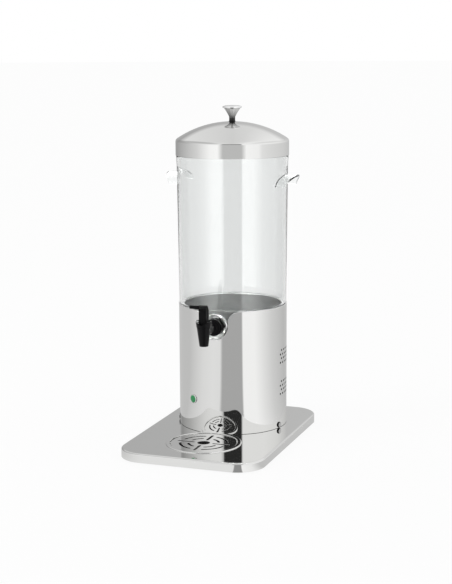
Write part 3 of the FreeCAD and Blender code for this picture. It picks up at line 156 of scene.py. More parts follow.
class Piece:
    """Collects surfaces in millimetres and makes one object of them."""

    def __init__(self, name):
        self.name = name
        self.points = []
        self.faces = []
        self.count = 0

    def add(self, points, faces):
        """Add points of shape (n, 3) and their faces."""
        self.points.append(points)
        self.faces += (np.asarray(faces) + self.count).tolist()
        self.count += len(points)
        return self

    def grid(self, points, close_rows=False, close_columns=False):
        """Add a surface given as a grid of points of shape (rows, columns, 3)."""
        rows, columns = points.shape[:2]
        return self.add(points.reshape(-1, 3), quads(rows, columns, close_rows, close_columns))

    def build(self, material, body, replaced=(), slot=None, crease=30, field=None, bevel=0):
        """Make the object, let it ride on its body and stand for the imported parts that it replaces."""
        mesh = bpy.data.meshes.new(self.name)
        mesh.from_pydata((np.concatenate(self.points) * MM).tolist(), [], self.faces)
        work = bmesh.new()
        work.from_mesh(mesh)
        bmesh.ops.remove_doubles(work, verts=work.verts, dist=WELD)
        bmesh.ops.dissolve_degenerate(work, edges=work.edges, dist=SLIVER)
        bmesh.ops.recalc_face_normals(work, faces=work.faces)
        work.to_mesh(mesh)
        work.free()
        mesh.shade_smooth()
        mesh.set_sharp_from_angle(angle=math.radians(crease))
        if field:
            true_normals(mesh, field)
        thing = bpy.data.objects.new(self.name, mesh)
        bpy.context.scene.collection.objects.link(thing)
        mesh.materials.append(material)
        if bevel:
            edge = thing.modifiers.new("Edge", "BEVEL")
            edge.width = bevel * MM
            edge.segments = 3
            edge.limit_method = "ANGLE"
            edge.angle_limit = math.radians(BEVEL_FROM)
            edge.harden_normals = True
        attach(thing, body)
        if replaced:
            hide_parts(*replaced)
        return thing


def true_normals(mesh, field):
    """Set the normals of faces that lie on a rolled or flat sheet to those of the sheet itself."""
    loops = len(mesh.loops)
    corner = np.zeros(loops * 3, np.float32)
    mesh.corner_normals.foreach_get("vector", corner)
    corner = corner.reshape(-1, 3)
    face = np.zeros(len(mesh.polygons) * 3, np.float32)
    mesh.polygons.foreach_get("normal", face)
    total = np.zeros(len(mesh.polygons), np.int32)
    mesh.polygons.foreach_get("loop_total", total)
    face = np.repeat(face.reshape(-1, 3), total, axis=0)
    index = np.zeros(loops, np.int32)
    mesh.loops.foreach_get("vertex_index", index)
    place = np.zeros(len(mesh.vertices) * 3, np.float32)
    mesh.vertices.foreach_get("co", place)
    wanted = field(place.reshape(-1, 3)[index] / MM)
    agree = (wanted * face).sum(1)
    lies = np.abs(agree) > SAME_WAY
    corner[lies] = (np.sign(agree)[:, None] * wanted)[lies]
    mesh.normals_split_custom_set(corner.tolist())


def rounded(corners, steps=6, closed=True):
    """An outline through corners (x, y) or (x, y, radius), each corner with a radius turned into an arc.

    The arc's centre lies on the corner's bisector at radius / sin(half the angle), and it begins and ends
    at radius / tan(half the angle) along the two sides.
    """
    points = [np.array(corner[:2], float) for corner in corners]
    line = []
    for index, corner in enumerate(corners):
        radius = corner[2] if len(corner) > 2 else 0
        ends = not closed and index in (0, len(corners) - 1)
        if not radius or ends:
            line.append(points[index][None])
            continue
        here = points[index]
        before = points[index - 1] - here
        after = points[(index + 1) % len(points)] - here
        before /= np.linalg.norm(before)
        after /= np.linalg.norm(after)
        half = math.acos(np.clip(before @ after, -1, 1)) / 2
        bisector = (before + after) / np.linalg.norm(before + after)
        centre = here + bisector * radius / math.sin(half)
        first = here + before * radius / math.tan(half) - centre
        last = here + after * radius / math.tan(half) - centre
        begin = math.atan2(first[1], first[0])
        sweep = (math.atan2(last[1], last[0]) - begin + math.pi) % (2 * math.pi) - math.pi
        angle = begin + sweep * np.linspace(0, 1, steps + 1)
        line.append(centre + radius * np.stack([np.cos(angle), np.sin(angle)], 1))
    return np.concatenate(line)


def circle(x, y, radius, steps=32):
    """Points on a circle."""
    angle = np.arange(steps) * 2 * np.pi / steps
    return np.stack([x + radius * np.cos(angle), y + radius * np.sin(angle)], 1)


def turned(profile, steps=160, begin=0, end=2 * np.pi):
    """A turned surface: the profile's point (r, z) goes to (r sin a, -r cos a, z) at angle a."""
    full = np.isscalar(begin) and abs(end - begin - 2 * np.pi) < 1e-9
    share = np.arange(steps) / steps if full else np.linspace(0, 1, steps + 1)
    angle = np.asarray(begin)[..., None] + share * (np.asarray(end) - begin)[..., None]
    angle = np.broadcast_to(angle, (len(profile), len(share)))
    radius, level = profile[:, :1], profile[:, 1:]
    return np.stack([radius * np.sin(angle), -radius * np.cos(angle), level + 0 * angle], -1)


def placed(points, matrix):
    """The points moved by a matrix."""
    place = np.array(matrix)
    return points @ place[:3, :3].T + place[:3, 3]


def at(x, y, z):
    """A matrix that only moves."""
    return Matrix.Translation((x, y, z))


def outward(angle, distance, level):
    """A matrix that lays Z along the way out of the housing at an angle from the front, with Y up."""
    across = Vector((math.cos(angle), math.sin(angle), 0))
    out = Vector((math.sin(angle), -math.cos(angle), 0))
    turn_matrix = Matrix((across, Vector((0, 0, 1)), out)).transposed().to_4x4()
    return at(out.x * distance, AXIS + out.y * distance, level) @ turn_matrix


def backwards(y, level):
    """A matrix that lays Z along the way to the back, with the turned piece's front up."""
    return at(0, y, level) @ Matrix.Rotation(math.radians(-90), 4, "X")


def lathe(name, corners, matrix, steps=160, arc=6):
    """A solid turned from a closed outline of (radius, level, rounding)."""
    return Piece(name).grid(placed(turned(rounded(corners, arc), steps), matrix), True, True)


def inside(point, loops):
    """Even-odd test: a point is inside when a ray along x crosses the loops an odd number of times."""
    odd = np.zeros(len(point), bool)
    for loop in loops:
        first, last = loop, np.roll(loop, -1, axis=0)
        y = point[:, 1:2]
        spans = (first[:, 1] > y) != (last[:, 1] > y)
        rise = np.where(last[:, 1] == first[:, 1], 1, last[:, 1] - first[:, 1])
        cross = first[:, 0] + (y - first[:, 1]) * (last[:, 0] - first[:, 0]) / rise
        odd ^= (spans & (point[:, :1] < cross)).sum(1) % 2 == 1
    return odd


def pierced(loops, seeds=None, clear=0.7):
    """Flat pattern of a sheet: triangles inside the first loop and outside the others."""
    if seeds is not None and len(seeds):
        gap = np.full(len(seeds), np.inf)
        for loop in loops:
            gap = np.minimum(gap, np.linalg.norm(seeds[:, None] - loop[None], axis=2).min(1))
        seeds = seeds[inside(seeds, loops) & (gap > clear)]
        flat = np.concatenate([*loops, seeds])
    else:
        flat = np.concatenate(loops)
    edges, start = [], 0
    for loop in loops:
        count = len(loop)
        edges += [(start + i, start + (i + 1) % count) for i in range(count)]
        start += count
    points, _, faces, *_ = delaunay_2d_cdt([Vector(p) for p in flat], edges, [], 0, FLAT_WELD)
    points = np.array(points, float)
    faces = np.array([face for face in faces if len(face) == 3])
    keep = inside(points[faces].mean(1), loops)
    return points, faces[keep]


def sheet(piece, loops, wrap, gauge, seeds=None, walls=None):
    """A sheet bent from a flat pattern: two skins one gauge apart, joined round each loop by a wall."""
    points, faces = pierced(loops, seeds)
    piece.add(wrap(points, 0), faces)
    piece.add(wrap(points, gauge), faces[:, ::-1])
    for line, closed in walls or [(loop, True) for loop in loops]:
        piece.grid(np.stack([wrap(line, 0), wrap(line, gauge)]), False, closed)
    return piece


def rolled(radius):
    """Roll a flat pattern round the housing's axis: x becomes the angle x / radius, y the level."""
    def wrap(flat, depth):
        angle = flat[:, 0] / radius
        reach = radius - depth
        return np.stack([reach * np.sin(angle), AXIS - reach * np.cos(angle), flat[:, 1]], 1)
    return wrap


def laid(top):
    """Lay a flat pattern down, its upper skin at a level."""
    def wrap(flat, depth):
        return np.stack([flat[:, 0], flat[:, 1], np.full(len(flat), top - depth)], 1)
    return wrap


def from_axis(point):
    """Way out from the housing's axis at each point."""
    way = point * (1, 1, 0) - (0, AXIS, 0)
    return way / np.linalg.norm(way, axis=1)[:, None]


def unrolled(line, radius):
    """Carry an outline that is cut straight from the front on to the flat pattern of a rolled sheet."""
    return np.stack([radius * np.arcsin(line[:, 0] / radius), line[:, 1]], 1)


def slab(piece, outline, half):
    """Add an outline in y and z, thickened to both sides along x, with its two end faces."""
    index = np.arange(len(outline))
    sides = np.stack([np.column_stack([np.full(len(outline), side * half), outline]) for side in (-1, 1)])
    piece.grid(sides, False, True)
    piece.add(sides[0], [index[::-1]])
    piece.add(sides[1], [index])


# Shader maths

class Value:
    """A shader socket whose arithmetic adds Math nodes."""

    def __init__(self, shader, socket):
        self.shader = shader
        self.socket = socket

    def maths(self, operation, first, second=0.0):
        return self.shader.add("ShaderNodeMath", {"operation": operation}, {0: first, 1: second})

    def __add__(self, other):
        return self.maths("ADD", self, other)

    def __sub__(self, other):
        return self.maths("SUBTRACT", self, other)

    def __rsub__(self, other):
        return self.maths("SUBTRACT", other, self)

    def __mul__(self, other):
        return self.maths("MULTIPLY", self, other)

    def __truediv__(self, other):
        return self.maths("DIVIDE", self, other)

    __radd__ = __add__
    __rmul__ = __mul__


class Shader:
    """Adds nodes to a tree."""

    def __init__(self, tree):
        self.tree = tree
        tree.nodes.clear()

    def add(self, kind, settings=None, sockets=None, output=0):
        """A node of one type: its settings come first, then the values or links of its sockets."""
        node = self.tree.nodes.new(kind)
        for name, value in (settings or {}).items():
            if name == "stops":
                self.stops(node.color_ramp, value)
            else:
                setattr(node, name, value)
        for name, value in (sockets or {}).items():
            if isinstance(value, Value):
                self.tree.links.new(value.socket, node.inputs[name])
            else:
                node.inputs[name].default_value = value
        return Value(self, node.outputs[output]) if len(node.outputs) else None

    @staticmethod
    def stops(ramp, stops):
        """Set a ramp's stops from pairs of place and grey or colour."""
        while len(ramp.elements) > 1:
            ramp.elements.remove(ramp.elements[-1])
        for index, (place, tone) in enumerate(stops):
            stop = ramp.elements[0] if index == 0 else ramp.elements.new(place)
            stop.position = place
            stop.color = (tone, tone, tone, 1) if np.isscalar(tone) else (*tone, 1)

    def place(self):
        """Object coordinates."""
        return self.add("ShaderNodeTexCoord", output="Object")

    def stretched(self, scale):
        """Object coordinates scaled along each axis."""
        place = self.place()
        return self.add("ShaderNodeMapping", {"vector_type": "POINT"}, {"Vector": place, "Scale": scale})

    def part(self, vector, index):
        """One part of a vector: 0 is x, 1 is y and 2 is z."""
        return self.add("ShaderNodeSeparateXYZ", None, {0: vector}, index)

    def ray(self, fact):
        """A fact about the ray that arrives."""
        return self.add("ShaderNodeLightPath", output=fact)

    def ramp(self, stops, factor):
        """A ramp of greys."""
        return self.add("ShaderNodeValToRGB", {"stops": stops}, {"Fac": factor})

    def fraction(self, value, begin, end, **ends):
        """How far a value has come from begin to end, held between 0 and 1 or the ends given."""
        sockets = {"Value": value, "From Min": begin, "From Max": end}
        sockets.update({name.replace("_", " "): limit for name, limit in ends.items()})
        return self.add("ShaderNodeMapRange", None, sockets)

    def mix(self, factor, first, second, blend="MIX"):
        """A colour made of two colours."""
        settings = {"data_type": "RGBA", "blend_type": blend}
        return self.add("ShaderNodeMix", settings, {"Factor": factor, 6: first, 7: second}, output=2)

    def either(self, factor, first, second):
        """A surface or light made of two."""
        return self.add("ShaderNodeMixShader", None, {0: factor, 1: first, 2: second})

    def noise(self, scale, detail=3.0, vector=None):
        """Noise between 0 and 1."""
        vector = vector or self.place()
        return self.add("ShaderNodeTexNoise", None, {"Vector": vector, "Scale": scale, "Detail": detail})

    def between(self, factor, low, high):
        """A colour between two colours."""
        return self.mix(factor, (*low, 1), (*high, 1))

    def bump(self, height, distance, strength=1.0):
        """A normal bent by a height."""
        sockets = {"Height": height, "Distance": distance, "Strength": strength}
        return self.add("ShaderNodeBump", None, sockets)


def material(name):
    """A new material and its shader."""
    made = bpy.data.materials.new(name)
    made.use_nodes = True
    return made, Shader(made.node_tree)


def principled(shader, sockets):
    """Principled shader led to the output."""
    surface = shader.add("ShaderNodeBsdfPrincipled", None, sockets)
    shader.add("ShaderNodeOutputMaterial", None, {"Surface": surface})
    return surface


def shade(colour_value, share):
    """The colour made darker or lighter by a share."""
    return tuple(min(1.0, channel * share) for channel in colour_value)


def polished_steel(name, base, rough=0.045, grain=(1, 1, 40)):
    """Mirror finish with faint polishing lines and wipe marks in its gloss."""
    made, shader = material(name)
    lines = shader.noise(60, 2.0, shader.stretched(grain))
    wipes = shader.noise(9, 3.0)
    gloss = rough + (lines - 0.5) * 0.02 + (wipes - 0.5) * 0.03
    principled(shader, {"Base Color": shader.between(wipes, shade(base, 0.985), shade(base, 1.01)),
                        "Metallic": 1.0, "Roughness": gloss})
    return made


def knob_steel_painted_reflection(name):
    """Polished steel of the knob with painted reflection and shade: its base colour is painted by height,
    bright on its top, duller on the flare, with a thin dark band near the top, and darkest at the foot.
    """
    made, shader = material(name)
    level = shader.part(shader.place(), 2)
    share = (level - knob_low[2] * MM) / ((knob_high[2] - knob_low[2]) * MM)
    # Painted reflection and shade: the ramp darkens the steel's base colour towards the foot and lightens it
    # towards the top.
    tone = shader.ramp([(0.0, 0.02), (0.2, 0.05), (0.42, 0.42), (0.78, 0.8), (0.795, 0.2), (0.82, 0.95),
                        (1.0, 0.98)], share)
    wipes = shader.noise(60, 3.0)
    principled(shader, {"Base Color": tone, "Metallic": 1.0, "Roughness": 0.10 + wipes * 0.06})
    return made


def satin_steel(name, base, rough=0.32, grain=(1, 60, 60)):
    """Brushed finish: long grain in the gloss, the tone and the bump."""
    made, shader = material(name)
    lines = shader.noise(45, 4.0, shader.stretched(grain))
    principled(shader, {"Base Color": shader.between(lines, shade(base, 0.92), shade(base, 1.06)),
                        "Metallic": 1.0, "Roughness": rough + (lines - 0.5) * 0.16,
                        "Normal": shader.bump(lines, 0.00002)})
    return made


def moulded_plastic(name, base, rough=0.32, grain=1400, depth=0.00003, gloss=1.5):
    """Moulded plastic with a fine spark-eroded grain and slight gloss changes."""
    made, shader = material(name)
    fine = shader.noise(grain, 2.0)
    broad = shader.noise(40, 2.0)
    principled(shader, {"Base Color": shader.between(broad, shade(base, 0.9), shade(base, 1.15)),
                        "Roughness": rough + (fine - 0.5) * 0.08 + (broad - 0.5) * 0.06, "IOR": gloss,
                        "Normal": shader.bump(fine, depth)})
    return made


def clear_plastic(name, tint, rough=0.0, gloss=1.49):
    """Clear moulded plastic, a little wavy as moulded walls are."""
    made, shader = material(name)
    waves = shader.noise(14, 1.0)
    principled(shader, {"Base Color": (*tint, 1), "Roughness": rough + waves * 0.02, "IOR": gloss,
                        "Transmission Weight": 1.0, "Normal": shader.bump(waves, 0.0003, 0.3)})
    return made


def silicone(name):
    """Milky food silicone."""
    made, shader = material(name)
    cloud = shader.noise(120, 2.0)
    principled(shader, {"Base Color": shader.between(cloud, (0.66, 0.66, 0.64), (0.76, 0.76, 0.74)),
                        "Roughness": 0.45 + (cloud - 0.5) * 0.1, "IOR": 1.41, "Subsurface Weight": 0.1,
                        "Subsurface Scale": 0.001})
    return made


def foam(name):
    """Closed-cell foam: small round cells in the bump and the tone."""
    made, shader = material(name)
    cells = shader.add("ShaderNodeTexVoronoi", None, {"Vector": shader.place(), "Scale": 700.0})
    principled(shader, {"Base Color": shader.between(cells, (0.03, 0.03, 0.032), (0.075, 0.075, 0.08)),
                        "Roughness": 0.9, "Normal": shader.bump(cells, 0.0002)})
    return made


def lamp_lens(name, base):
    """Lit pilot lens: ribbed green plastic whose glow changes from cell to cell."""
    made, shader = material(name)
    cells = shader.add("ShaderNodeTexVoronoi", None, {"Vector": shader.place(), "Scale": 900.0})
    glow = shader.between(cells, shade(base, 1.0), shade(base, 1.7))
    principled(shader, {"Base Color": shader.between(cells, shade(base, 0.8), shade(base, 1.2)),
                        "Roughness": 0.12 + cells * 0.1, "Coat Weight": 0.3, "Emission Color": glow,
                        "Emission Strength": 0.3, "Normal": shader.bump(cells, 0.0001)})
    return made


def rubber(name, base):
    """Dull rubber with a fine grain."""
    return moulded_plastic(name, base, rough=0.75, grain=900, depth=0.00006)


FINISHES = {}


def finish(name):
    """The shared material of that name."""
    return FINISHES[name]


NODE_FINISHES = {
    "satin steel": "foot_screws foot_ring side_screws clamp_screws carrier_plate carrier_screws "
                   "lower_pillars upper_pillars pillar_screws liner_screws fan_screws lamp_nut "
                   "knob_washer knob_screw bottom_cover",
    "polished steel": "tap_stem lever_pin transfer_plate lid_seat_ring tray_ring drip_grid "
                      "housing_shell base_plate lamp_bezel lid_dome lid_knob",
    "well steel painted light": "well_liner",
    "tray steel painted shade": "drip_tray",
    "aluminium": "cold_plate heat_sink power_supply",
    "foam": "insulation_sleeve insulation_pad module_gasket",
    "ceramic": "thermoelectric_module",
    "brass": "inlet_blades",
    "white plastic": "terminal_block",
    "black plastic": "fan_frame fan_rotor power_inlet switch_frame switch_rocker lamp_body tap_body "
                     "tap_bonnet tap_lock_nut side_screw_caps cover_spacers",
    "lever plastic": "tap_lever",
    "clear plastic": "tank",
    "handle plastic": "handle_left handle_right",
    "silicone": "transfer_seal seat_cup seat_bellows lid_seal",
    "rubber": "rubber_feet tap_seal_outer tap_seal_inner",
    "lamp": "lamp_lens",
}


class DISPENSER_OT_finishes(bpy.types.Operator):
    """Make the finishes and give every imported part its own"""
    bl_idname = "dispenser.finishes"
    bl_label = "Finishes"

    def execute(self, context):
        tones = context.scene.dispenser.finish
        FINISHES.update({
            "polished steel": polished_steel("polished_steel", tuple(tones.steel)),
            "rolled steel": polished_steel("rolled_polished_steel", tuple(tones.steel), 0.03, (1, 1, 30)),
            "knob steel painted reflection": knob_steel_painted_reflection("knob_steel_painted_reflection"),
            # Painted light: the well's steel is a lighter copy of the satin steel, near white, so that the
            # deep well reads bright.
            "well steel painted light": satin_steel("well_steel_painted_light", (0.97, 0.97, 0.96), 0.5, (1, 1, 60)),
            # Painted shade: the drip tray is a darker copy of the satin steel, so that it reads dark under
            # the grid and in the gaps round it.
            "tray steel painted shade": satin_steel("tray_steel_painted_shade", (0.30, 0.30, 0.30), 0.3, (30, 30, 1)),
            "satin steel": satin_steel("satin_steel", tuple(tones.satin)),
            "aluminium": satin_steel("machined_aluminium", (0.72, 0.73, 0.75), 0.36, (60, 1, 60)),
            "clear plastic": clear_plastic("clear_plastic", tuple(tones.clear)),
            "handle plastic": clear_plastic("handle_plastic", (0.93, 0.94, 0.937), 0.04, 1.22),
            "black plastic": moulded_plastic("black_plastic", tuple(tones.black), 0.18, gloss=1.22),
            "lever plastic": moulded_plastic("lever_plastic", tuple(tones.lever), 0.45, gloss=1.15),
            "white plastic": moulded_plastic("white_plastic", (0.78, 0.78, 0.75), 0.4),
            "ceramic": moulded_plastic("ceramic_faces", (0.85, 0.85, 0.82), 0.5, 600, 0.00002),
            "brass": satin_steel("plated_brass", (0.75, 0.62, 0.35), 0.25, (60, 1, 60)),
            "silicone": silicone("milky_silicone"),
            "foam": foam("cell_foam"),
            "rubber": rubber("black_rubber", (0.018, 0.018, 0.018)),
            "lamp": lamp_lens("lit_green_lens", tuple(tones.lamp)),
        })
        for name, nodes in NODE_FINISHES.items():
            for node in nodes.split():
                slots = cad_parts[node].data.materials
                slots.clear()
                slots.append(FINISHES[name])
        return {"FINISHED"}


# Base

PLATE_GAUGE = 1.2


def plate_outline(inset, corner, low, high, spacing=5.0):
    """Rounded rectangle inset from the plate's box, with points about a spacing apart on its sides."""
    half = (high - low)[:2] / 2 - inset
    radius = max(corner - inset, 0.2)
    line = []
    for x, y, begin in ((1, -1, -90), (1, 1, 0), (-1, 1, 90), (-1, -1, 180)):
        centre = np.array([x, y]) * (half - radius)
        angle = np.radians(begin + np.linspace(0, 90, 15))
        line.append(centre + radius * np.stack([np.cos(angle), np.sin(angle)], 1))
    full = []
    for index, arc in enumerate(line):
        following = line[(index + 1) % 4][0]
        count = int(((high - low)[1 if index % 2 == 0 else 0]) // spacing)
        share = np.linspace(0, 1, count + 1)[1:-1, None]
        full += [arc, arc[-1] + (following - arc[-1]) * share]
    return np.concatenate(full)


def plate_section(edge, foot, top, gauge):
    """Inset and level of the pressed plate's skin, from the hole's upper edge round to its lower one.

    An inset below 0 stands for the hole. The loop just inside the rounded edge keeps the flat's shading flat.
    """
    beside, chamfer = edge + 0.6, 0.3
    angle = np.radians(np.linspace(90, 0, 9))
    outer = np.stack([edge - edge * np.cos(angle), top - edge + edge * np.sin(angle)], 1)
    inner_edge = edge - gauge
    inner = np.stack([gauge + inner_edge - inner_edge * np.cos(angle),
                      top - edge + inner_edge * np.sin(angle)], 1)[::-1]
    lip = np.array([(0, foot + chamfer), (chamfer, foot), (gauge - chamfer, foot), (gauge, foot + chamfer)])
    return np.concatenate([[(-1, top), (beside, top)], outer, lip, inner, [(-1, top - gauge)]])


def tray_place():
    """Middle of the tray, in millimetres."""
    low, high = span("drip_grid")
    return 0.0, (low[1] + high[1]) / 2


class DISPENSER_OT_base(bpy.types.Operator):
    """Pressed base plate: a section of inset and level carried round the rounded outline, and a flat ruled
    from that outline to the tray's hole"""
    bl_idname = "dispenser.base"
    bl_label = "Base plate"

    def execute(self, context):
        shape = context.scene.dispenser.shape
        low, high = span("base_plate")
        corner, hole = shape.plate_corner / MM, 51.15
        section = plate_section(shape.plate_edge / MM, low[2], high[2], PLATE_GAUGE)
        rim = plate_outline(0, corner, low, high)
        x, y = tray_place()
        way = rim - (x, y)
        way /= np.linalg.norm(way, axis=1)[:, None]
        ring = np.array([x, y]) + hole * way
        rows = []
        for inset, level in section:
            flat = ring if inset < 0 else plate_outline(inset, corner, low, high)
            rows.append(np.column_stack([flat, np.full(len(flat), level)]))
        plate = Piece("pressed_base_plate").grid(np.stack(rows), True, True)
        plate.build(finish("polished steel"), "base", ["base_plate"], "polished_steel", 35)
        return {"FINISHED"}


def slot_outline(x0, x1, y, half):
    """A slot with round ends along x."""
    return rounded([(x0 - half, y - half, half), (x1 + half, y - half, half), (x1 + half, y + half, half),
                    (x0 - half, y + half, half)], 8)


class DISPENSER_OT_cover(bpy.types.Operator):
    """Flat bottom cover with air slots and screw holes, cut from its flat pattern"""
    bl_idname = "dispenser.cover"
    bl_label = "Bottom cover"

    def execute(self, context):
        low, high = span("bottom_cover")
        corner = context.scene.dispenser.shape.plate_corner / MM - PLATE_GAUGE
        foot_low, foot_high = span("foot_screws")
        loops = [plate_outline(0, corner, low, high, 12.0)]
        slot_reach, slot_half = 30, 1.98
        loops += [slot_outline(-slot_reach, slot_reach, y, slot_half) for y in (5, 15, 25, 35, 45)]
        head, screw = 3.0, 1.6
        loops += [circle(x, y, screw, 16) for x in (foot_low[0] + head, foot_high[0] - head)
                  for y in (foot_low[1] + head, foot_high[1] - head)]
        cover = sheet(Piece("slotted_bottom_cover"), loops, laid(high[2]), high[2] - low[2])
        cover.build(finish("satin steel"), "base", ["bottom_cover"], "satin_steel")
        return {"FINISHED"}


# Drip tray

def housing_crossing(radius, reach, away):
    """Angle at which a circle about the tray meets the housing.

    Two circles of radii a and b, a distance d apart, meet at the angle whose cosine is
    (a squared + d squared - b squared) / (2 a d). Where they don't meet the angle is 0.
    """
    cosine = (radius ** 2 + away ** 2 - reach ** 2) / (2 * radius * away)
    return np.where(cosine < 1, np.arccos(np.clip(cosine, -1, 1)), 0.0)


class DISPENSER_OT_tray(bpy.types.Operator):
    """Raised ring that ends at the housing, and the turned tray below it"""
    bl_idname = "dispenser.tray"
    bl_label = "Drip tray"

    def execute(self, context):
        x, y = tray_place()
        low, high = span("tray_ring")
        grid_low, grid_high = span("drip_grid")
        plate = span("base_plate")[1][2]
        grid_gap, gauge, shelf, clear = 1.1, 0.8, 3.4, 0.05
        inner = (grid_high - grid_low)[0] / 2 + grid_gap
        outer = (high - low)[0] / 2
        hang = inner + 0.6
        ledge, rest = low[2] + gauge, plate + clear
        profile = rounded([(hang - shelf, low[2]), (hang, low[2]), (hang, rest), (outer, rest),
                           (outer, high[2], 1.1), (inner, high[2], 0.9), (inner, ledge),
                           (hang - shelf, ledge)], 8)
        half = housing_crossing(profile[:, 0], SHELL_RADIUS + 0.15, AXIS - y)
        half = np.where(profile[:, 1] > plate + 0.01, half, 0.0)
        begin = -np.pi + half
        ring = turned(profile, 240, begin, -begin)
        piece = Piece("raised_tray_ring").grid(placed(ring, at(x, y, 0)), True, False)
        rows = np.arange(len(profile))
        piece.add(placed(ring[:, 0], at(x, y, 0)), [rows])
        piece.add(placed(ring[:, -1], at(x, y, 0)), [rows[::-1]])
        piece.build(finish("polished steel"), "base", ["tray_ring"], "polished_steel")

        # The drip tray wears the dark tray steel, painted shade under the grid.
        low, high = span("drip_tray")
        wall, flange = 47.0, (high - low)[0] / 2
        inside_wall, under, floor = wall - gauge, high[2] - gauge, low[2] + gauge
        tray = lathe("turned_drip_tray", [
            (0, low[2]), (wall, low[2], 2), (wall, under), (flange, under), (flange, high[2]),
            (inside_wall, high[2], 0.3), (inside_wall, floor, 1.2), (0, floor)], at(x, y, 0))
        tray.build(finish("tray steel painted shade"), "tray", ["drip_tray"], "polished_steel")
        return {"FINISHED"}


def bent_slot(radius, begin, end, half):
    """A slot bent round the middle from one angle to another: two arcs, and half circles at their ends."""
    arc = np.linspace(begin, end, 24)
    cap = np.linspace(0, np.pi, 9)[1:-1]

    def ways(angle):
        return np.stack([np.cos(angle), np.sin(angle)], -1)

    last = radius * ways(end) + half * ways(end + cap)
    first = radius * ways(begin) + half * ways(begin + np.pi + cap)
    return np.concatenate([(radius + half) * ways(arc), last, (radius - half) * ways(arc)[::-1], first])


def turned_flat(line, quarter):
    """An outline turned by quarters of a turn."""
    angle = quarter * np.pi / 2
    return line @ np.array([[np.cos(angle), np.sin(angle)], [-np.sin(angle), np.cos(angle)]])


class DISPENSER_OT_grid(bpy.types.Operator):
    """Slotted drip grid cut from its flat pattern"""
    bl_idname = "dispenser.grid"
    bl_label = "Drip grid"

    def execute(self, context):
        low, high = span("drip_grid")
        x, y = tray_place()
        half, hole = 2.0, 9.5
        slots = [bent_slot(radius, math.radians(begin), math.radians(90 - begin), half)
                 for radius, begin in ((23, 24), (35.5, 17))]
        slots.append(slot_outline(16, 40, 0, half))
        loops = [circle(0, 0, (high - low)[0] / 2, 144), circle(0, 0, hole, 48)]
        for quarter in range(4):
            loops += [turned_flat(slot, quarter) for slot in slots]
        loops = [loop + (x, y) for loop in loops]
        grid = sheet(Piece("slotted_drip_grid"), loops, laid(high[2]), high[2] - low[2])
        grid.build(finish("polished steel"), "grid", ["drip_grid"], "polished_steel", 40, None, 0.25)
        return {"FINISHED"}


# Housing

def notch_line(half, flare, bottom, top):
    """Edge of the notch from its left mouth to its right one: two flares, two straights and a half circle."""
    mouth = half + flare
    curve = np.radians(np.linspace(90, 0, 13))
    left = np.stack([-mouth + flare * np.cos(curve), top - flare + flare * np.sin(curve)], 1)
    around = np.radians(np.linspace(180, 360, 37))
    round_end = np.stack([half * np.cos(around), bottom + half * np.sin(around)], 1)
    return np.concatenate([left, round_end, left[::-1] * (-1, 1)])


def rolled_outline(radius, low, high, step, notch=None):
    """Outline of a rolled sheet's flat pattern, with an edge line let into its top."""
    half = np.pi * radius
    count = int(round(2 * half / step))
    across = np.linspace(-half, half, count + 1)
    bottom = np.stack([across, np.full(count + 1, low)], 1)
    top = np.stack([across, np.full(count + 1, high)], 1)
    if notch is not None:
        clear = step * 0.4
        left = top[top[:, 0] < notch[0, 0] - clear]
        right = top[top[:, 0] > notch[-1, 0] + clear]
        top = np.concatenate([left, notch, right])
    return bottom, top


def seeds_for(radius, low, high, step, rows):
    """Inner points of a rolled sheet's flat pattern, on the same columns as its edges."""
    count = int(round(2 * np.pi * radius / step))
    across = np.linspace(-np.pi * radius, np.pi * radius, count + 1)[1:-1]
    levels = np.linspace(low, high, rows + 2)[1:-1]
    return np.stack(np.meshgrid(across, levels), -1).reshape(-1, 2)


def vent_holes(shape, radius):
    """Two groups of four staggered rows of holes on each side."""
    holes = []
    pitch, columns = 6.6, 8
    for side in (1, -1):
        for middle_level in (78.5, 128.5):
            for row in range(4):
                level = middle_level + (row - 1.5) * pitch
                shift = shape.vent_turn / 2 if row % 2 else 0
                for column in range(columns):
                    angle = shape.vent_start + shift + column * shape.vent_turn
                    holes.append(circle(side * angle * radius, level, shape.vent_radius / MM, 16))
    return holes


class DISPENSER_OT_housing(bpy.types.Operator):
    """Polished housing rolled from its flat pattern, with notch, vents, lamp hole and screw holes"""
    bl_idname = "dispenser.housing"
    bl_label = "Housing"

    def execute(self, context):
        shape = context.scene.dispenser.shape
        radius, step = SHELL_RADIUS, 2 * np.pi * SHELL_RADIUS / 180
        notch = notch_line(shape.notch_half / MM, shape.notch_flare / MM, TAP_LEVEL, shell_high[2])
        notch = unrolled(notch, radius)
        gauge, foot_gap, lamp_hole, screw_hole = 1.0, 0.45, 6.1, 2.1
        foot = shell_low[2] + foot_gap
        bottom, top = rolled_outline(radius, foot, shell_high[2], step, notch)
        loops = [np.concatenate([bottom, top[::-1]])]
        holes = vent_holes(shape, radius)
        lamp = middle("lamp_bezel")[2]
        screw = middle("side_screws")[2]
        holes.append(circle(shape.lamp_turn * radius, lamp, lamp_hole, 32))
        holes += [circle(side * shape.screw_turn * radius, screw, screw_hole, 16) for side in (1, -1)]
        loops += holes
        seeds = seeds_for(radius, foot, shell_high[2], step, 60)
        walls = [(bottom, False), (top, False)] + [(hole, True) for hole in holes]
        shell = sheet(Piece("polished_housing"), loops, rolled(radius), gauge, seeds, walls)
        shell.build(finish("rolled steel"), "base", ["housing_shell"], "polished_steel", 30, from_axis)
        within, without = radius - gauge, radius - gauge / 4
        seam = lathe("housing_foot_seal", [(within, shell_low[2]), (without, shell_low[2]), (without, foot),
                                           (within, foot)], at(0, AXIS, 0))
        seam.build(finish("rubber"), "base", (), "black_rubber")
        return {"FINISHED"}


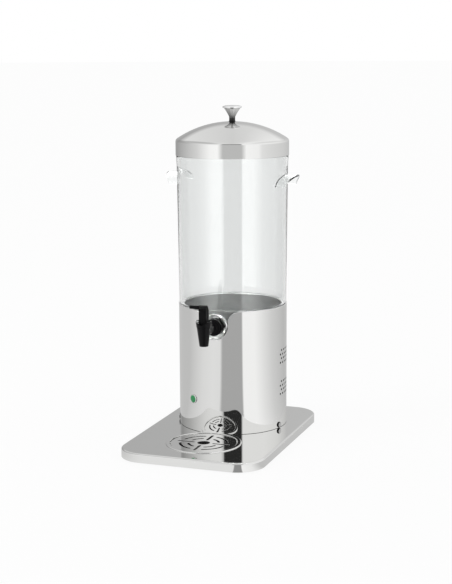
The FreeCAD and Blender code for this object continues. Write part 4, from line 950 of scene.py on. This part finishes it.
class DISPENSER_OT_well(bpy.types.Operator):
    """Well liner: rolled wall with the notch, turned flange over the housing's edge, and turned floor"""
    bl_idname = "dispenser.well"
    bl_label = "Well liner"

    def execute(self, context):
        shape = context.scene.dispenser.shape
        low, high = span("well_liner")
        outer, gauge, hole = 81.2, 0.8, 43
        inner = outer - gauge
        brim, wall_top, wall_foot, turn_up = high[2], high[2] - 1.5, low[2] + 3, low[2] + 3.2
        step = 2 * np.pi * outer / 160
        half, flare = shape.notch_half / MM + 1, shape.notch_flare / MM - 0.5
        notch = unrolled(notch_line(half, flare, TAP_LEVEL, wall_top), outer)
        bottom, top = rolled_outline(outer, wall_foot, wall_top, step, notch)
        seeds = seeds_for(outer, wall_foot, wall_top, step, 14)
        well = sheet(Piece("polished_well"), [np.concatenate([bottom, top[::-1]])], rolled(outer), gauge,
                     seeds, [(bottom, False), (top, False)])
        gap = math.asin((half + flare) / SHELL_RADIUS)
        lip = rounded([(outer, wall_top), (outer, brim - gauge), (SHELL_RADIUS, brim - gauge, 0.2),
                       (SHELL_RADIUS, brim, 0.4), (inner, brim, 1.4), (inner, wall_top)], 6)
        flange = placed(turned(lip, 160, gap, 2 * np.pi - gap), at(0, AXIS, 0))
        well.grid(flange, True, False)
        well.add(flange[:, 0], [np.arange(len(lip))])
        well.add(flange[:, -1], [np.arange(len(lip))[::-1]])
        floor = rounded([(hole, low[2]), (outer, low[2], 3), (outer, turn_up), (inner, turn_up),
                         (inner, low[2] + gauge, 2.2), (hole, low[2] + gauge)], 6)
        well.grid(placed(turned(floor, 160), at(0, AXIS, 0)), True, True)
        well.build(finish("well steel painted light"), "base", ["well_liner"], "polished_steel", 30)
        return {"FINISHED"}


class DISPENSER_OT_lamp(bpy.types.Operator):
    """Pilot lamp: bezel and domed lens turned about the way out of the housing, and the two side caps"""
    bl_idname = "dispenser.lamp"
    bl_label = "Lamp and side caps"

    def execute(self, context):
        shape = context.scene.dispenser.shape
        place = outward(shape.lamp_turn, SHELL_RADIUS, middle("lamp_bezel")[2])
        bezel = lathe("lamp_bezel_ring", [(5, -14), (5.9, -14, 0.3), (5.9, 0.1), (7, 0.1), (7, 1.6, 0.9),
                                          (5.7, 1.6, 0.3), (5.7, 0.4), (5, 0.4)], place, 64)
        bezel.build(finish("polished steel"), "base", ["lamp_bezel"], "polished_steel")
        rim, rise, apex, neck = 5.6, 1.3, 2.7, 4.9
        sphere = (rim ** 2 + rise ** 2) / (2 * rise)
        out = np.linspace(rim, 0, 12)
        dome = np.stack([out, apex - sphere + np.sqrt(sphere ** 2 - out ** 2)], 1)
        profile = np.concatenate([[(0, -6), (neck, -6), (neck, 0.4), (rim, 0.4)], dome])
        lens = Piece("lamp_lens_dome").grid(placed(turned(profile, 64), place), True, True)
        lens.build(finish("lamp"), "base", ["lamp_lens"], "lamp_green")
        caps = Piece("side_screw_cap_pair")
        for side in (1, -1):
            spot = outward(side * shape.screw_turn, SHELL_RADIUS, middle("side_screws")[2])
            cap = rounded([(0, 1.5), (4.6, 1.5, 0.9), (4.6, 0.1), (3.65, 0.1), (3.65, 0.7), (0, 0.7)], 6)
            caps.grid(placed(turned(cap, 48), spot), True, True)
        caps.build(finish("black plastic"), "base", ["side_screw_caps"], "black_plastic")
        return {"FINISHED"}


# Tank

# Radii of the tank: where it nests in the well, just above its shoulder, and at its top.
NEST, WAIST, BRIM = 79.6, 84.1, 86.6
TANK_WALL = 3.0
SHOULDER = 208.0
# Lower and upper level of the band round the boss, on the tank's outside and inside.
BAND_OUT = (161, 206)
BAND_IN = (162, 202.5)


def tank_profiles():
    """Outlines of the tank's wall above and below the band that carries the tap's boss."""
    foot, top = tank_low[2], tank_high[2]
    bead, bead_foot, bead_top = (tank_high - tank_low)[0] / 2, 437, lid_low[2] + 1.2
    inside_nest, hole, floor = NEST - TANK_WALL, 44, foot + 4
    upper = [(NEST, BAND_OUT[1]), (NEST, SHOULDER, 0.6), (WAIST, SHOULDER, 0.8), (BRIM - 0.15, 424, 40),
             (bead, bead_foot, 1.0), (bead, bead_top, 0.4), (BRIM, bead_top, 0.3), (BRIM, top, 1.2),
             (BRIM - TANK_WALL, top, 1.2), (WAIST - TANK_WALL, SHOULDER + 1.5, 0.4),
             (inside_nest, SHOULDER + 0.9, 0.4), (inside_nest, BAND_IN[1])]
    lower = [(inside_nest, BAND_IN[0]), (inside_nest, floor, 2.5), (hole, floor, 0.4), (hole, foot, 0.4),
             (NEST, foot, 3), (NEST, BAND_OUT[0])]
    return rounded(upper, 8, False), rounded(lower, 8, False)


def boss_loop(radius, reach, steps=72):
    """A circle about the tap's axis where it meets a cylinder about the tank's axis."""
    line = circle(0, TAP_LEVEL, radius, steps)
    return np.column_stack([line[:, 0], AXIS - np.sqrt(reach ** 2 - line[:, 0] ** 2), line[:, 1]])


def flat_loop(radius, y, steps=72):
    """A circle about the tap's axis in an upright plane."""
    line = circle(0, TAP_LEVEL, radius, steps)
    return np.column_stack([line[:, 0], np.full(steps, y), line[:, 1]])


class DISPENSER_OT_tank(bpy.types.Operator):
    """Clear tank: turned wall, and a band rolled round the boss, whose faces are ruled between circles"""
    bl_idname = "dispenser.tank"
    bl_label = "Tank"

    def execute(self, context):
        steps = 192
        tank = Piece("clear_tank")
        for profile in tank_profiles():
            tank.grid(placed(turned(profile, steps), at(0, AXIS, 0)), False, True)
        boss, pad, bore = 19.5, 14.8, 7.7
        face, seat = AXIS - 87.0, AXIS - 75.0
        within = NEST - TANK_WALL
        for reach, (low, high), hole in ((NEST, BAND_OUT, boss), (within, BAND_IN, pad)):
            step = 2 * np.pi * reach / steps
            bottom, top = rolled_outline(reach, low, high, step)
            ring = unrolled(circle(0, TAP_LEVEL, hole, 72), reach)
            points, faces = pierced([np.concatenate([bottom, top[::-1]]), ring],
                                    seeds_for(reach, low, high, step, 10), 1.2)
            tank.add(rolled(reach)(points, 0), faces)
        edge = 1.2
        arcs = np.radians(np.linspace(0, 90, 6))
        rings = [boss_loop(boss, NEST)]
        rings += [flat_loop(boss - edge + edge * math.cos(a), face + edge - edge * math.sin(a)) for a in arcs]
        rings += [flat_loop(bore, face), flat_loop(bore, seat), flat_loop(pad, seat), boss_loop(pad, within)]
        tank.grid(np.stack(rings), False, True)
        tank.build(finish("clear plastic"), "tank_unit", ["tank"], "clear_plastic")

        gauge, dish, flange = 1.2, 42.8, 51
        foot = tank_low[2]
        under, top, floor = foot + 5, foot + 6, foot + gauge
        plate = lathe("dished_transfer_plate", [
            (0, foot), (dish, foot, 0.8), (dish, under, 0.3), (flange, under), (flange, top, 0.3),
            (dish - gauge, top, 0.8), (dish - gauge, floor, 0.6), (0, floor)], at(0, AXIS, 0))
        plate.build(finish("polished steel"), "tank_unit", ["transfer_plate"], "polished_steel")
        return {"FINISHED"}


def handle_surface(side, rows=48):
    """Arched sheet that leaves the wall and ends in an oval lip.

    At the angle t along the arch, y is the half width times cos t and the level is the foot plus the rise
    times sin t. Outward it runs from the wall to the oval with half axes of the reach and the half width.
    """
    low, high = span("handle_right")
    half, wall, foot, shorter = (high - low)[1] / 2, 2.6, 394.5, 3.4
    rise = high[2] - foot
    reach = high[0] - BRIM - shorter
    slope = (BRIM - WAIST) / 219.5
    t = np.linspace(0.02, 1, rows // 2) ** 1.2 * np.pi / 2
    t = np.concatenate([t, np.pi - t[::-1][1:]])

    def skin(inset, share):
        y = (half - inset) * np.cos(t)
        z = foot + 0.25 + (rise - 0.25 - inset) * np.sin(t)
        radius = WAIST + 0.05 + (z - SHOULDER) * slope
        start = np.sqrt(radius ** 2 - y ** 2) - 0.35
        end = BRIM + reach * np.sqrt(np.clip(1 - (y / (half + 1)) ** 2, 0, 1))
        x = start + (end - start) * share
        return np.column_stack([side * x, AXIS + y, z])

    rounding = 0.5 - 0.5 * np.cos(np.linspace(0, np.pi, 9))
    lip = [skin(wall * r, 1 - 0.02 * abs(2 * r - 1) ** 3) for r in rounding]
    out = [skin(0, share) for share in np.linspace(0, 0.97, 12)]
    back = [skin(wall, share) for share in np.linspace(0.97, 0, 12)]
    return np.stack(out + lip + back)


class DISPENSER_OT_handles(bpy.types.Operator):
    """Two clear handles, each an arch swept out of the tank's wall"""
    bl_idname = "dispenser.handles"
    bl_label = "Handles"

    def execute(self, context):
        for side, node in ((1, "handle_right"), (-1, "handle_left")):
            skin = handle_surface(side)
            piece = Piece("moulded_" + node).grid(skin, True, False)
            rows = np.arange(skin.shape[0])
            piece.add(skin[:, 0], [rows])
            piece.add(skin[:, -1], [rows[::-1]])
            piece.build(finish("handle plastic"), "tank_unit", [node], "clear_plastic")
        return {"FINISHED"}


# Tap

class DISPENSER_OT_tap(bpy.types.Operator):
    """Tap body: turned spout, turned shank with its stepped flange and thread, and the outer seal"""
    bl_idname = "dispenser.tap"
    bl_label = "Tap"

    def execute(self, context):
        low, high = span("tap_body")
        bore, chamber, foot, top = 4.6, 6.4, low[2], 192.6
        spout = rounded([(bore, foot, 0.3), (6.75, foot, 0.5), (10.5, top - 1, 0.6), (10.3, top, 0.4),
                         (chamber, top), (chamber, 175.5), (bore, 172)], 5)
        tap = Piece("tap_body_moulding").grid(placed(turned(spout, 96), at(0, SPOUT, 0)), True, True)
        seal_low, seal_high = span("tap_seal_outer")
        flange, back = seal_low[1], high[1]
        crest, groove, pitch = 7.4, 0.5, 0.9
        thread = [(crest - groove * (index % 2), flange + 1.5 + index * pitch)
                  for index in range(int((back - flange - 2.5) // pitch))]
        neck, small, medium, large = 6.6, 8.7, 10.7, 13.3
        first, second, third = flange - 6.4, flange - 4.2, flange - 2.4
        shank = [(bore, SPOUT + 7), (neck, SPOUT + 7), (neck, first, 1.2), (small, first, 0.6),
                 (small, second, 0.5), (medium, second, 0.6), (medium, third, 0.5), (large, third, 0.7),
                 (large, flange, 0.3), (crest, flange)]
        shank += thread + [(7.0, back, 0.4), (bore, back, 0.3)]
        tap.grid(placed(turned(rounded(shank, 4), 96), backwards(0, TAP_LEVEL)), True, True)
        tap.build(finish("black plastic"), "tank_unit", ["tap_body"], "black_plastic", 25)
        radius, hole, depth = (seal_high - seal_low)[0] / 2, 7.45, 1.5
        seal = lathe("tap_seal_ring", [(hole, 0, 0.2), (radius, 0, 0.6), (radius, depth, 0.6),
                                       (hole, depth, 0.2)], backwards(flange, TAP_LEVEL), 96)
        seal.build(finish("rubber"), "tank_unit", ["tap_seal_outer"], "black_rubber")
        return {"FINISHED"}


def bonnet_top(x, low, high, reach):
    """Level of the vee across the bonnet: it rises with the distance from the middle plane."""
    return np.minimum(high, low + np.abs(x) * (high + 0.6 - low) / (reach + 0.4))


class DISPENSER_OT_bonnet(bpy.types.Operator):
    """Winged bonnet: a turned skirt whose top is cut by a vee, and the lever that rides in it"""
    bl_idname = "dispenser.bonnet"
    bl_label = "Bonnet and lever"

    def execute(self, context):
        ceiling = span("tap_bonnet")[1][2]
        reach, waist, plug, bore = 12.2, 11.0, 6.35, 2.56
        vee, foot, plug_foot = 196.5, 192.65, 188.5
        steps = 128
        angle = np.arange(steps) * 2 * np.pi / steps
        rows = []
        for radius, level in ((bore, plug_foot), (plug, plug_foot), (plug, foot), (waist, foot)):
            rows.append((np.full(steps, radius), np.full(steps, level)))
        for share in np.linspace(0.06, 1, 10):
            radius = waist + (reach - waist) * share
            cut = bonnet_top(radius * np.sin(angle), vee, ceiling, reach)
            rows.append((np.full(steps, radius) - 0.35 * share ** 8, foot + (cut - foot) * share))
        for radius in np.linspace(reach - 0.6, bore, 10):
            rows.append((np.full(steps, radius), bonnet_top(radius * np.sin(angle), vee, ceiling, reach)))
        skin = np.stack([np.column_stack([r * np.sin(angle), SPOUT - r * np.cos(angle), z]) for r, z in rows])
        bonnet = Piece("winged_tap_bonnet").grid(skin, True, True)
        bonnet.build(finish("black plastic"), "tank_unit", ["tap_bonnet"], "black_plastic", 32)

        lever = Piece("tap_lever_moulding")
        reach, root, tip, gauge = 40.0, 226.2, 233.0, 4.8
        slope = (tip - root) / reach

        def above(y):
            return root - y * slope

        hub = rounded([(-6, vee + 0.4, 0.6), (6, vee + 0.4, 0.6), (6.6, root - 9, 4), (1.5, above(1.5), 1.5),
                       (-2, above(-2) - 0.2), (-7.2, above(-7.2) - gauge + 0.2),
                       (-6, above(-6) - gauge - 3, 3)], 5)
        hub_half, paddle_half = 5.95, 7.55
        slab(lever, hub + (SPOUT, 0), hub_half)
        paddle = rounded([(-reach + 0.1, tip - gauge - 0.6, 1.0), (-3, above(-3) - gauge + 0.1),
                          (-2.5, above(-2.5) - 0.1), (-reach + 0.1, tip - 0.1, 1.4)], 6)
        slab(lever, paddle + (SPOUT, 0), paddle_half)
        lever.build(finish("lever plastic"), "lever", ["tap_lever"], "grey_plastic", 30, None, 0.6)
        return {"FINISHED"}


# Lid

def dome_line(skirt, sphere, centre, fillet, low, hole, steps=60):
    """Outline of a domed skin: the skirt, a fillet that touches both, and the sphere up to the knob's hole.

    The fillet's centre lies at skirt - fillet from the axis and sphere - fillet from the dome's centre.
    """
    across = skirt - fillet
    up = centre + math.sqrt((sphere - fillet) ** 2 - across ** 2)
    meet = math.atan2(up - centre, across)
    angle = np.linspace(0, meet, 14)
    shoulder = np.stack([across + fillet * np.cos(angle), up + fillet * np.sin(angle)], 1)
    end = math.acos(hole / sphere)
    angle = np.linspace(meet, end, steps)[1:]
    crown = np.stack([sphere * np.cos(angle), centre + sphere * np.sin(angle)], 1)
    wall = np.stack([np.full(8, skirt), np.linspace(low, up, 9)[:-1]], 1)
    return np.concatenate([wall, shoulder, crown])


class DISPENSER_OT_lid(bpy.types.Operator):
    """Domed lid and its turned knob"""
    bl_idname = "dispenser.lid"
    bl_label = "Lid"

    def execute(self, context):
        steps = 224
        radius, sphere, gauge = (lid_high - lid_low)[0] / 2, 155.0, 0.8
        fillet, hole, shorter = 6.0, 2.3, 1.4
        apex = knob_low[2] - 0.02
        centre = apex - sphere
        skirt = lid_low[2] + shorter
        outer = dome_line(radius, sphere, centre, fillet, skirt, hole)
        inner = dome_line(radius - gauge, sphere - gauge, centre, fillet - gauge, skirt, hole)[::-1]
        skin = placed(turned(np.concatenate([outer, inner]), steps), at(0, AXIS, 0))
        lid = Piece("domed_lid").grid(skin, True, True)
        lid.build(finish("rolled steel"), "lid", ["lid_dome"], "polished_steel", 40)

        top, rim = knob_high[2], (knob_high - knob_low)[0] / 2
        waist, base, under = 4.7, 5.4, top - 4.6
        widens, neck = apex + 6.5, rim - 2.7
        level = np.linspace(apex + 1.5, under, 28)
        share = np.clip((level - widens) / (under - widens), 0, 1)
        flare = np.stack([waist + (neck - waist) * share ** 1.2, level], 1)
        disc = rounded([(neck, under), (rim - 0.6, under + 0.8, 0.8), (rim, top - 1.9, 1.2),
                        (rim - 4.5, top - 0.35, 3), (0, top)], 6, False)
        profile = np.concatenate([[(0, apex + 0.05), (base, apex + 0.05), (base, apex + 0.5),
                                   (waist + 0.2, apex + 1.1)], flare, disc[1:]])
        knob = Piece("turned_lid_knob").grid(placed(turned(profile, 128), at(0, AXIS, 0)), True, True)
        knob.build(finish("knob steel painted reflection"), "lid", ["lid_knob"], "polished_steel", 38)
        return {"FINISHED"}


# Studio

def sector(shader, x, y, facing, stops):
    """Grey by compass direction: the angle of (x, y) from the camera's side, in degrees, feeds a ramp.

    The share is the fraction left of (atan2(x, -y) - facing) / a full turn + a half.
    """
    angle = x.maths("ARCTAN2", x, y * -1.0)
    share = x.maths("FRACT", (angle - facing) / (2 * math.pi) + 0.5)
    return shader.ramp([((degrees + 180) / 360, tone) for degrees, tone in stops], share)


def beyond(value, low, high):
    """How far a shader value lies outside a range, and 0 inside it."""
    return value - value.maths("MINIMUM", value.maths("MAXIMUM", value, low), high)


# Pairs of an angle from the camera's side, in degrees to the right, and the grey reflected there.
# The floor close to the dispenser, the floor right beside the plate, and the floor far away:
NEAR_SECTORS = [(-180, 0.58), (-100, 0.60), (-62, 0.84), (-40, 0.90), (-26, 0.88), (-21, 0.42),
                (17.5, 0.42), (19.5, 1.10), (44, 1.10), (64, 0.92), (86, 0.74), (131, 0.55), (180, 0.58)]
EDGE_SECTORS = [(-180, 0.5), (-90, 0.7), (-19.5, 0.92), (-13, 0.9), (-11, 0.28), (9, 0.28), (11, 1.1),
                (40, 1.0), (70, 0.62), (110, 0.62), (180, 0.5)]
FAR_SECTORS = [(-180, 0.40), (-150, 0.34), (-110, 0.56), (-75, 0.78), (-46, 1.15), (-30, 1.2),
               (-19, 0.58), (18, 0.58), (28, 1.15), (54, 1.10), (62, 0.92), (76, 0.86), (124, 0.74),
               (180, 0.50)]
# The walls, the factor of the gap between them, and what clear plastic mirrors:
WALL_SECTORS = [(-180, 0.50), (-145, 0.36), (-105, 0.56), (-62, 0.92), (-46, 1.0), (-27, 1.0),
                (-21, 0.62), (17.5, 0.62), (21, 1.05), (70, 1.05), (110, 0.95), (150, 0.72), (180, 0.55)]
GAP_SECTORS = [(-180, 1.0), (-21.5, 1.0), (-19.5, 0.05), (17, 0.05), (19, 1.0), (180, 1.0)]
CLEAR_SECTORS = [(-180, 1.04), (-150, 1.04), (-125, 0.25), (-72, 0.6), (-48, 2.3), (-23, 2.7),
                 (-20, 0.02), (18, 0.02), (21, 2.7), (44, 2.7), (66, 0.8), (125, 0.25), (150, 1.04),
                 (180, 1.04)]
# Pairs of a sideways share of the direction, from left to right, and the ceiling's grey there.
CEILING = [(-0.62, 0.58), (-0.48, 0.72), (-0.38, 0.86), (-0.22, 0.82), (0.0, 0.76), (0.14, 0.81),
           (0.26, 0.9), (0.37, 1.0), (0.52, 1.0), (0.66, 0.86)]
# Pairs of the upward share of a direction and the strength of the gap, and of the ceiling.
GAP_LEVELS = [(0.15, 0.0), (0.19, 1.0), (0.33, 1.0), (0.36, 0.0)]
CEILING_LEVELS = [(0.0, 0.0), (0.34, 0.0), (0.52, 1.0)]
WHITE = (1, 1, 1, 1)
SENSOR = 36.0
FLOOR_GREY = (0.86, 0.86, 0.86, 1)


class DISPENSER_OT_stage(bpy.types.Operator):
    """Pale floor, even light with two bright sides and a gap behind the camera, and the camera"""
    bl_idname = "dispenser.stage"
    bl_label = "Studio"

    def execute(self, context):
        dispenser = context.scene.dispenser
        stage = dispenser.stage
        facing = math.atan2(stage.eye[0], AXIS * MM - stage.eye[1])
        self.make_floor(facing, dispenser.shape.plate_corner)
        self.make_world(facing, stage.fill)
        self.make_lamp()
        self.make_camera(stage)
        return {"FINISHED"}

    @staticmethod
    def light(shader, kind, colour, strength=1.0):
        """A light of a colour."""
        return shader.add(kind, None, {"Color": colour, "Strength": strength})

    @staticmethod
    def glare(shader, x, y, facing):
        """What clear plastic shows of the studio: white straight through it, sectors once mirrored in it."""
        depth = shader.ray("Glossy Depth")
        bounced = depth.maths("MINIMUM", depth, 1.0)
        return shader.mix(bounced, WHITE, sector(shader, x, y, facing, CLEAR_SECTORS)), bounced

    def make_floor(self, facing, corner):
        """Round floor: white to the camera with the dispenser's faint shadow, tinted for reflections."""
        steps, radii, drop = 96, (0.0, 0.4, 1.2, 4.0, 12.0, 40.0), 0.00005
        angle = np.arange(steps) * 2 * np.pi / steps
        level = np.full(steps, -drop)
        rings = [np.column_stack([r * np.sin(angle), r * np.cos(angle), level]) for r in radii]
        mesh = bpy.data.meshes.new("studio_floor")
        faces = quads(len(radii), steps, False, True)
        mesh.from_pydata(np.concatenate(rings).tolist(), [], faces.tolist())
        floor = bpy.data.objects.new("studio_floor", mesh)
        bpy.context.scene.collection.objects.link(floor)
        made, shader = material("floor_paint")
        x = shader.part(shader.place(), 0)
        y = shader.part(shader.place(), 1) - AXIS * MM
        far = shader.fraction(x.maths("SQRT", x * x + y * y), 1.6, 3.2)
        tone = shader.mix(far, sector(shader, x, y, facing, NEAR_SECTORS),
                          sector(shader, x, y, facing, FAR_SECTORS))
        low, high = span("base_plate")
        aside = beyond(x, low[0] * MM + corner, high[0] * MM - corner)
        ahead = beyond(y, (low[1] - AXIS) * MM + corner, (high[1] - AXIS) * MM - corner)
        close = shader.fraction(shader.ray("Ray Length"), 0.09, 0.065)
        tone = shader.mix(close, tone, sector(shader, aside, ahead, facing, EDGE_SECTORS))
        seen, through = shader.ray("Is Camera Ray"), shader.ray("Is Transmission Ray")
        mirrored = shader.ray("Is Glossy Ray")
        paint = shader.add("ShaderNodeBsdfDiffuse", None, {"Color": FLOOR_GREY})
        white = self.light(shader, "ShaderNodeEmission", WHITE)
        clear = self.light(shader, "ShaderNodeEmission", self.glare(shader, x, y, facing)[0])
        grey = self.light(shader, "ShaderNodeEmission", tone)
        plain = shader.either(seen * 0.9, paint, white)
        straight = shader.either(through * 0.95, plain, clear)
        both = shader.either(mirrored * (1.0 - through) * 0.9, straight, grey)
        shader.add("ShaderNodeOutputMaterial", None, {"Surface": both})
        mesh.materials.append(made)

    def make_world(self, facing, fill):
        """World: white to the camera and through clear plastic, the studio's sectors in reflections."""
        world = bpy.data.worlds.new("studio")
        bpy.context.scene.world = world
        world.use_nodes = True
        shader = Shader(world.node_tree)
        way = shader.add("ShaderNodeTexCoord", output="Generated")
        x, y, z = [shader.part(way, index) for index in range(3)]
        walls = sector(shader, x, y, facing, WALL_SECTORS)
        gap = shader.ramp(GAP_LEVELS, z)
        tone = shader.mix(gap, walls, sector(shader, x, y, facing, GAP_SECTORS), "MULTIPLY")
        sideways = x * math.cos(facing) + y * math.sin(facing)
        above = shader.ramp([((side + 1) / 2, grey) for side, grey in CEILING], (sideways + 1.0) / 2.0)
        tone = shader.mix(shader.ramp(CEILING_LEVELS, z), tone, above)
        seen, through = shader.ray("Is Camera Ray"), shader.ray("Is Transmission Ray")
        mirrored = shader.ray("Is Glossy Ray")
        studio = self.light(shader, "ShaderNodeBackground", tone)
        even = self.light(shader, "ShaderNodeBackground", WHITE, fill)
        white = self.light(shader, "ShaderNodeBackground", WHITE)
        gain = shader.fraction(z, 0.04, 0.16, To_Min=1.0, To_Max=2.8)
        glare, bounced = self.glare(shader, x, y, facing)
        clear = self.light(shader, "ShaderNodeBackground", glare, (gain - 1.0) * bounced + 1.0)
        light = shader.either(mirrored, even, studio)
        plain = shader.either(through, light, clear)
        both = shader.either(seen, plain, white)
        shader.add("ShaderNodeOutputWorld", None, {"Surface": both})

    def make_lamp(self):
        """One large soft lamp high on the left."""
        width, height, watts = 1.6, 2.2, 16
        place, aim = Vector((-2.0, -1.6, 2.2)), Vector((0, 0, 0.2))
        lamp = bpy.data.lights.new("soft_box", "AREA")
        lamp.shape = "RECTANGLE"
        lamp.size = width
        lamp.size_y = height
        lamp.energy = watts
        thing = bpy.data.objects.new("soft_box", lamp)
        thing.location = place
        thing.rotation_euler = (aim - place).to_track_quat("-Z", "Y").to_euler()
        thing.visible_glossy = False
        bpy.context.scene.collection.objects.link(thing)

    def make_camera(self, stage):
        """Camera from its place, yaw, dip and roll."""
        yaw, dip, roll = stage.yaw, stage.dip, stage.roll
        look = Vector((-math.sin(yaw) * math.cos(dip), math.cos(yaw) * math.cos(dip), -math.sin(dip)))
        right = Vector((math.cos(yaw), math.sin(yaw), 0))
        up = right.cross(look)
        rolled_right = right * math.cos(roll) + up * math.sin(roll)
        rolled_up = up * math.cos(roll) - right * math.sin(roll)
        camera = bpy.data.cameras.new("camera")
        camera.lens = stage.lens
        camera.sensor_width = SENSOR
        thing = bpy.data.objects.new("camera", camera)
        turned_to = Matrix((rolled_right, rolled_up, -look)).transposed().to_4x4()
        thing.matrix_world = Matrix.Translation(stage.eye) @ turned_to
        bpy.context.scene.collection.objects.link(thing)
        bpy.context.scene.camera = thing
        bpy.context.scene.view_settings.view_transform = "Standard"


class DispenserSettings(bpy.types.PropertyGroup):
    """Everything that can be set."""
    finish: PointerProperty(type=FinishSettings)
    shape: PointerProperty(type=ShapeSettings)
    stage: PointerProperty(type=StageSettings)


OPERATORS = (DISPENSER_OT_finishes, DISPENSER_OT_base, DISPENSER_OT_cover, DISPENSER_OT_tray,
             DISPENSER_OT_grid, DISPENSER_OT_housing, DISPENSER_OT_well, DISPENSER_OT_lamp,
             DISPENSER_OT_tank, DISPENSER_OT_handles, DISPENSER_OT_tap, DISPENSER_OT_bonnet,
             DISPENSER_OT_lid, DISPENSER_OT_stage)


class DISPENSER_PT_panel(bpy.types.Panel):
    """Lists the operators and the settings"""
    bl_idname = "DISPENSER_PT_panel"
    bl_label = "Drink dispenser"
    bl_space_type = "VIEW_3D"
    bl_region_type = "UI"
    bl_category = "Dispenser"

    def draw(self, context):
        for operator in OPERATORS:
            self.layout.operator(operator.bl_idname)
        dispenser = context.scene.dispenser
        for group in (dispenser.finish, dispenser.shape, dispenser.stage):
            box = self.layout.box()
            for name in group.bl_rna.properties.keys():
                if name not in ("rna_type", "name"):
                    box.prop(group, name)


CLASSES = (FinishSettings, ShapeSettings, StageSettings, DispenserSettings, *OPERATORS, DISPENSER_PT_panel)


def register():
    for item in CLASSES:
        bpy.utils.register_class(item)
    bpy.types.Scene.dispenser = PointerProperty(type=DispenserSettings)


def unregister():
    del bpy.types.Scene.dispenser
    for item in reversed(CLASSES):
        bpy.utils.unregister_class(item)


def main():
    """Make every piece and the studio."""
    register()
    for operator in OPERATORS:
        group, name = operator.bl_idname.split(".")
        getattr(getattr(bpy.ops, group), name)()


if __name__ == "__main__":
    main()
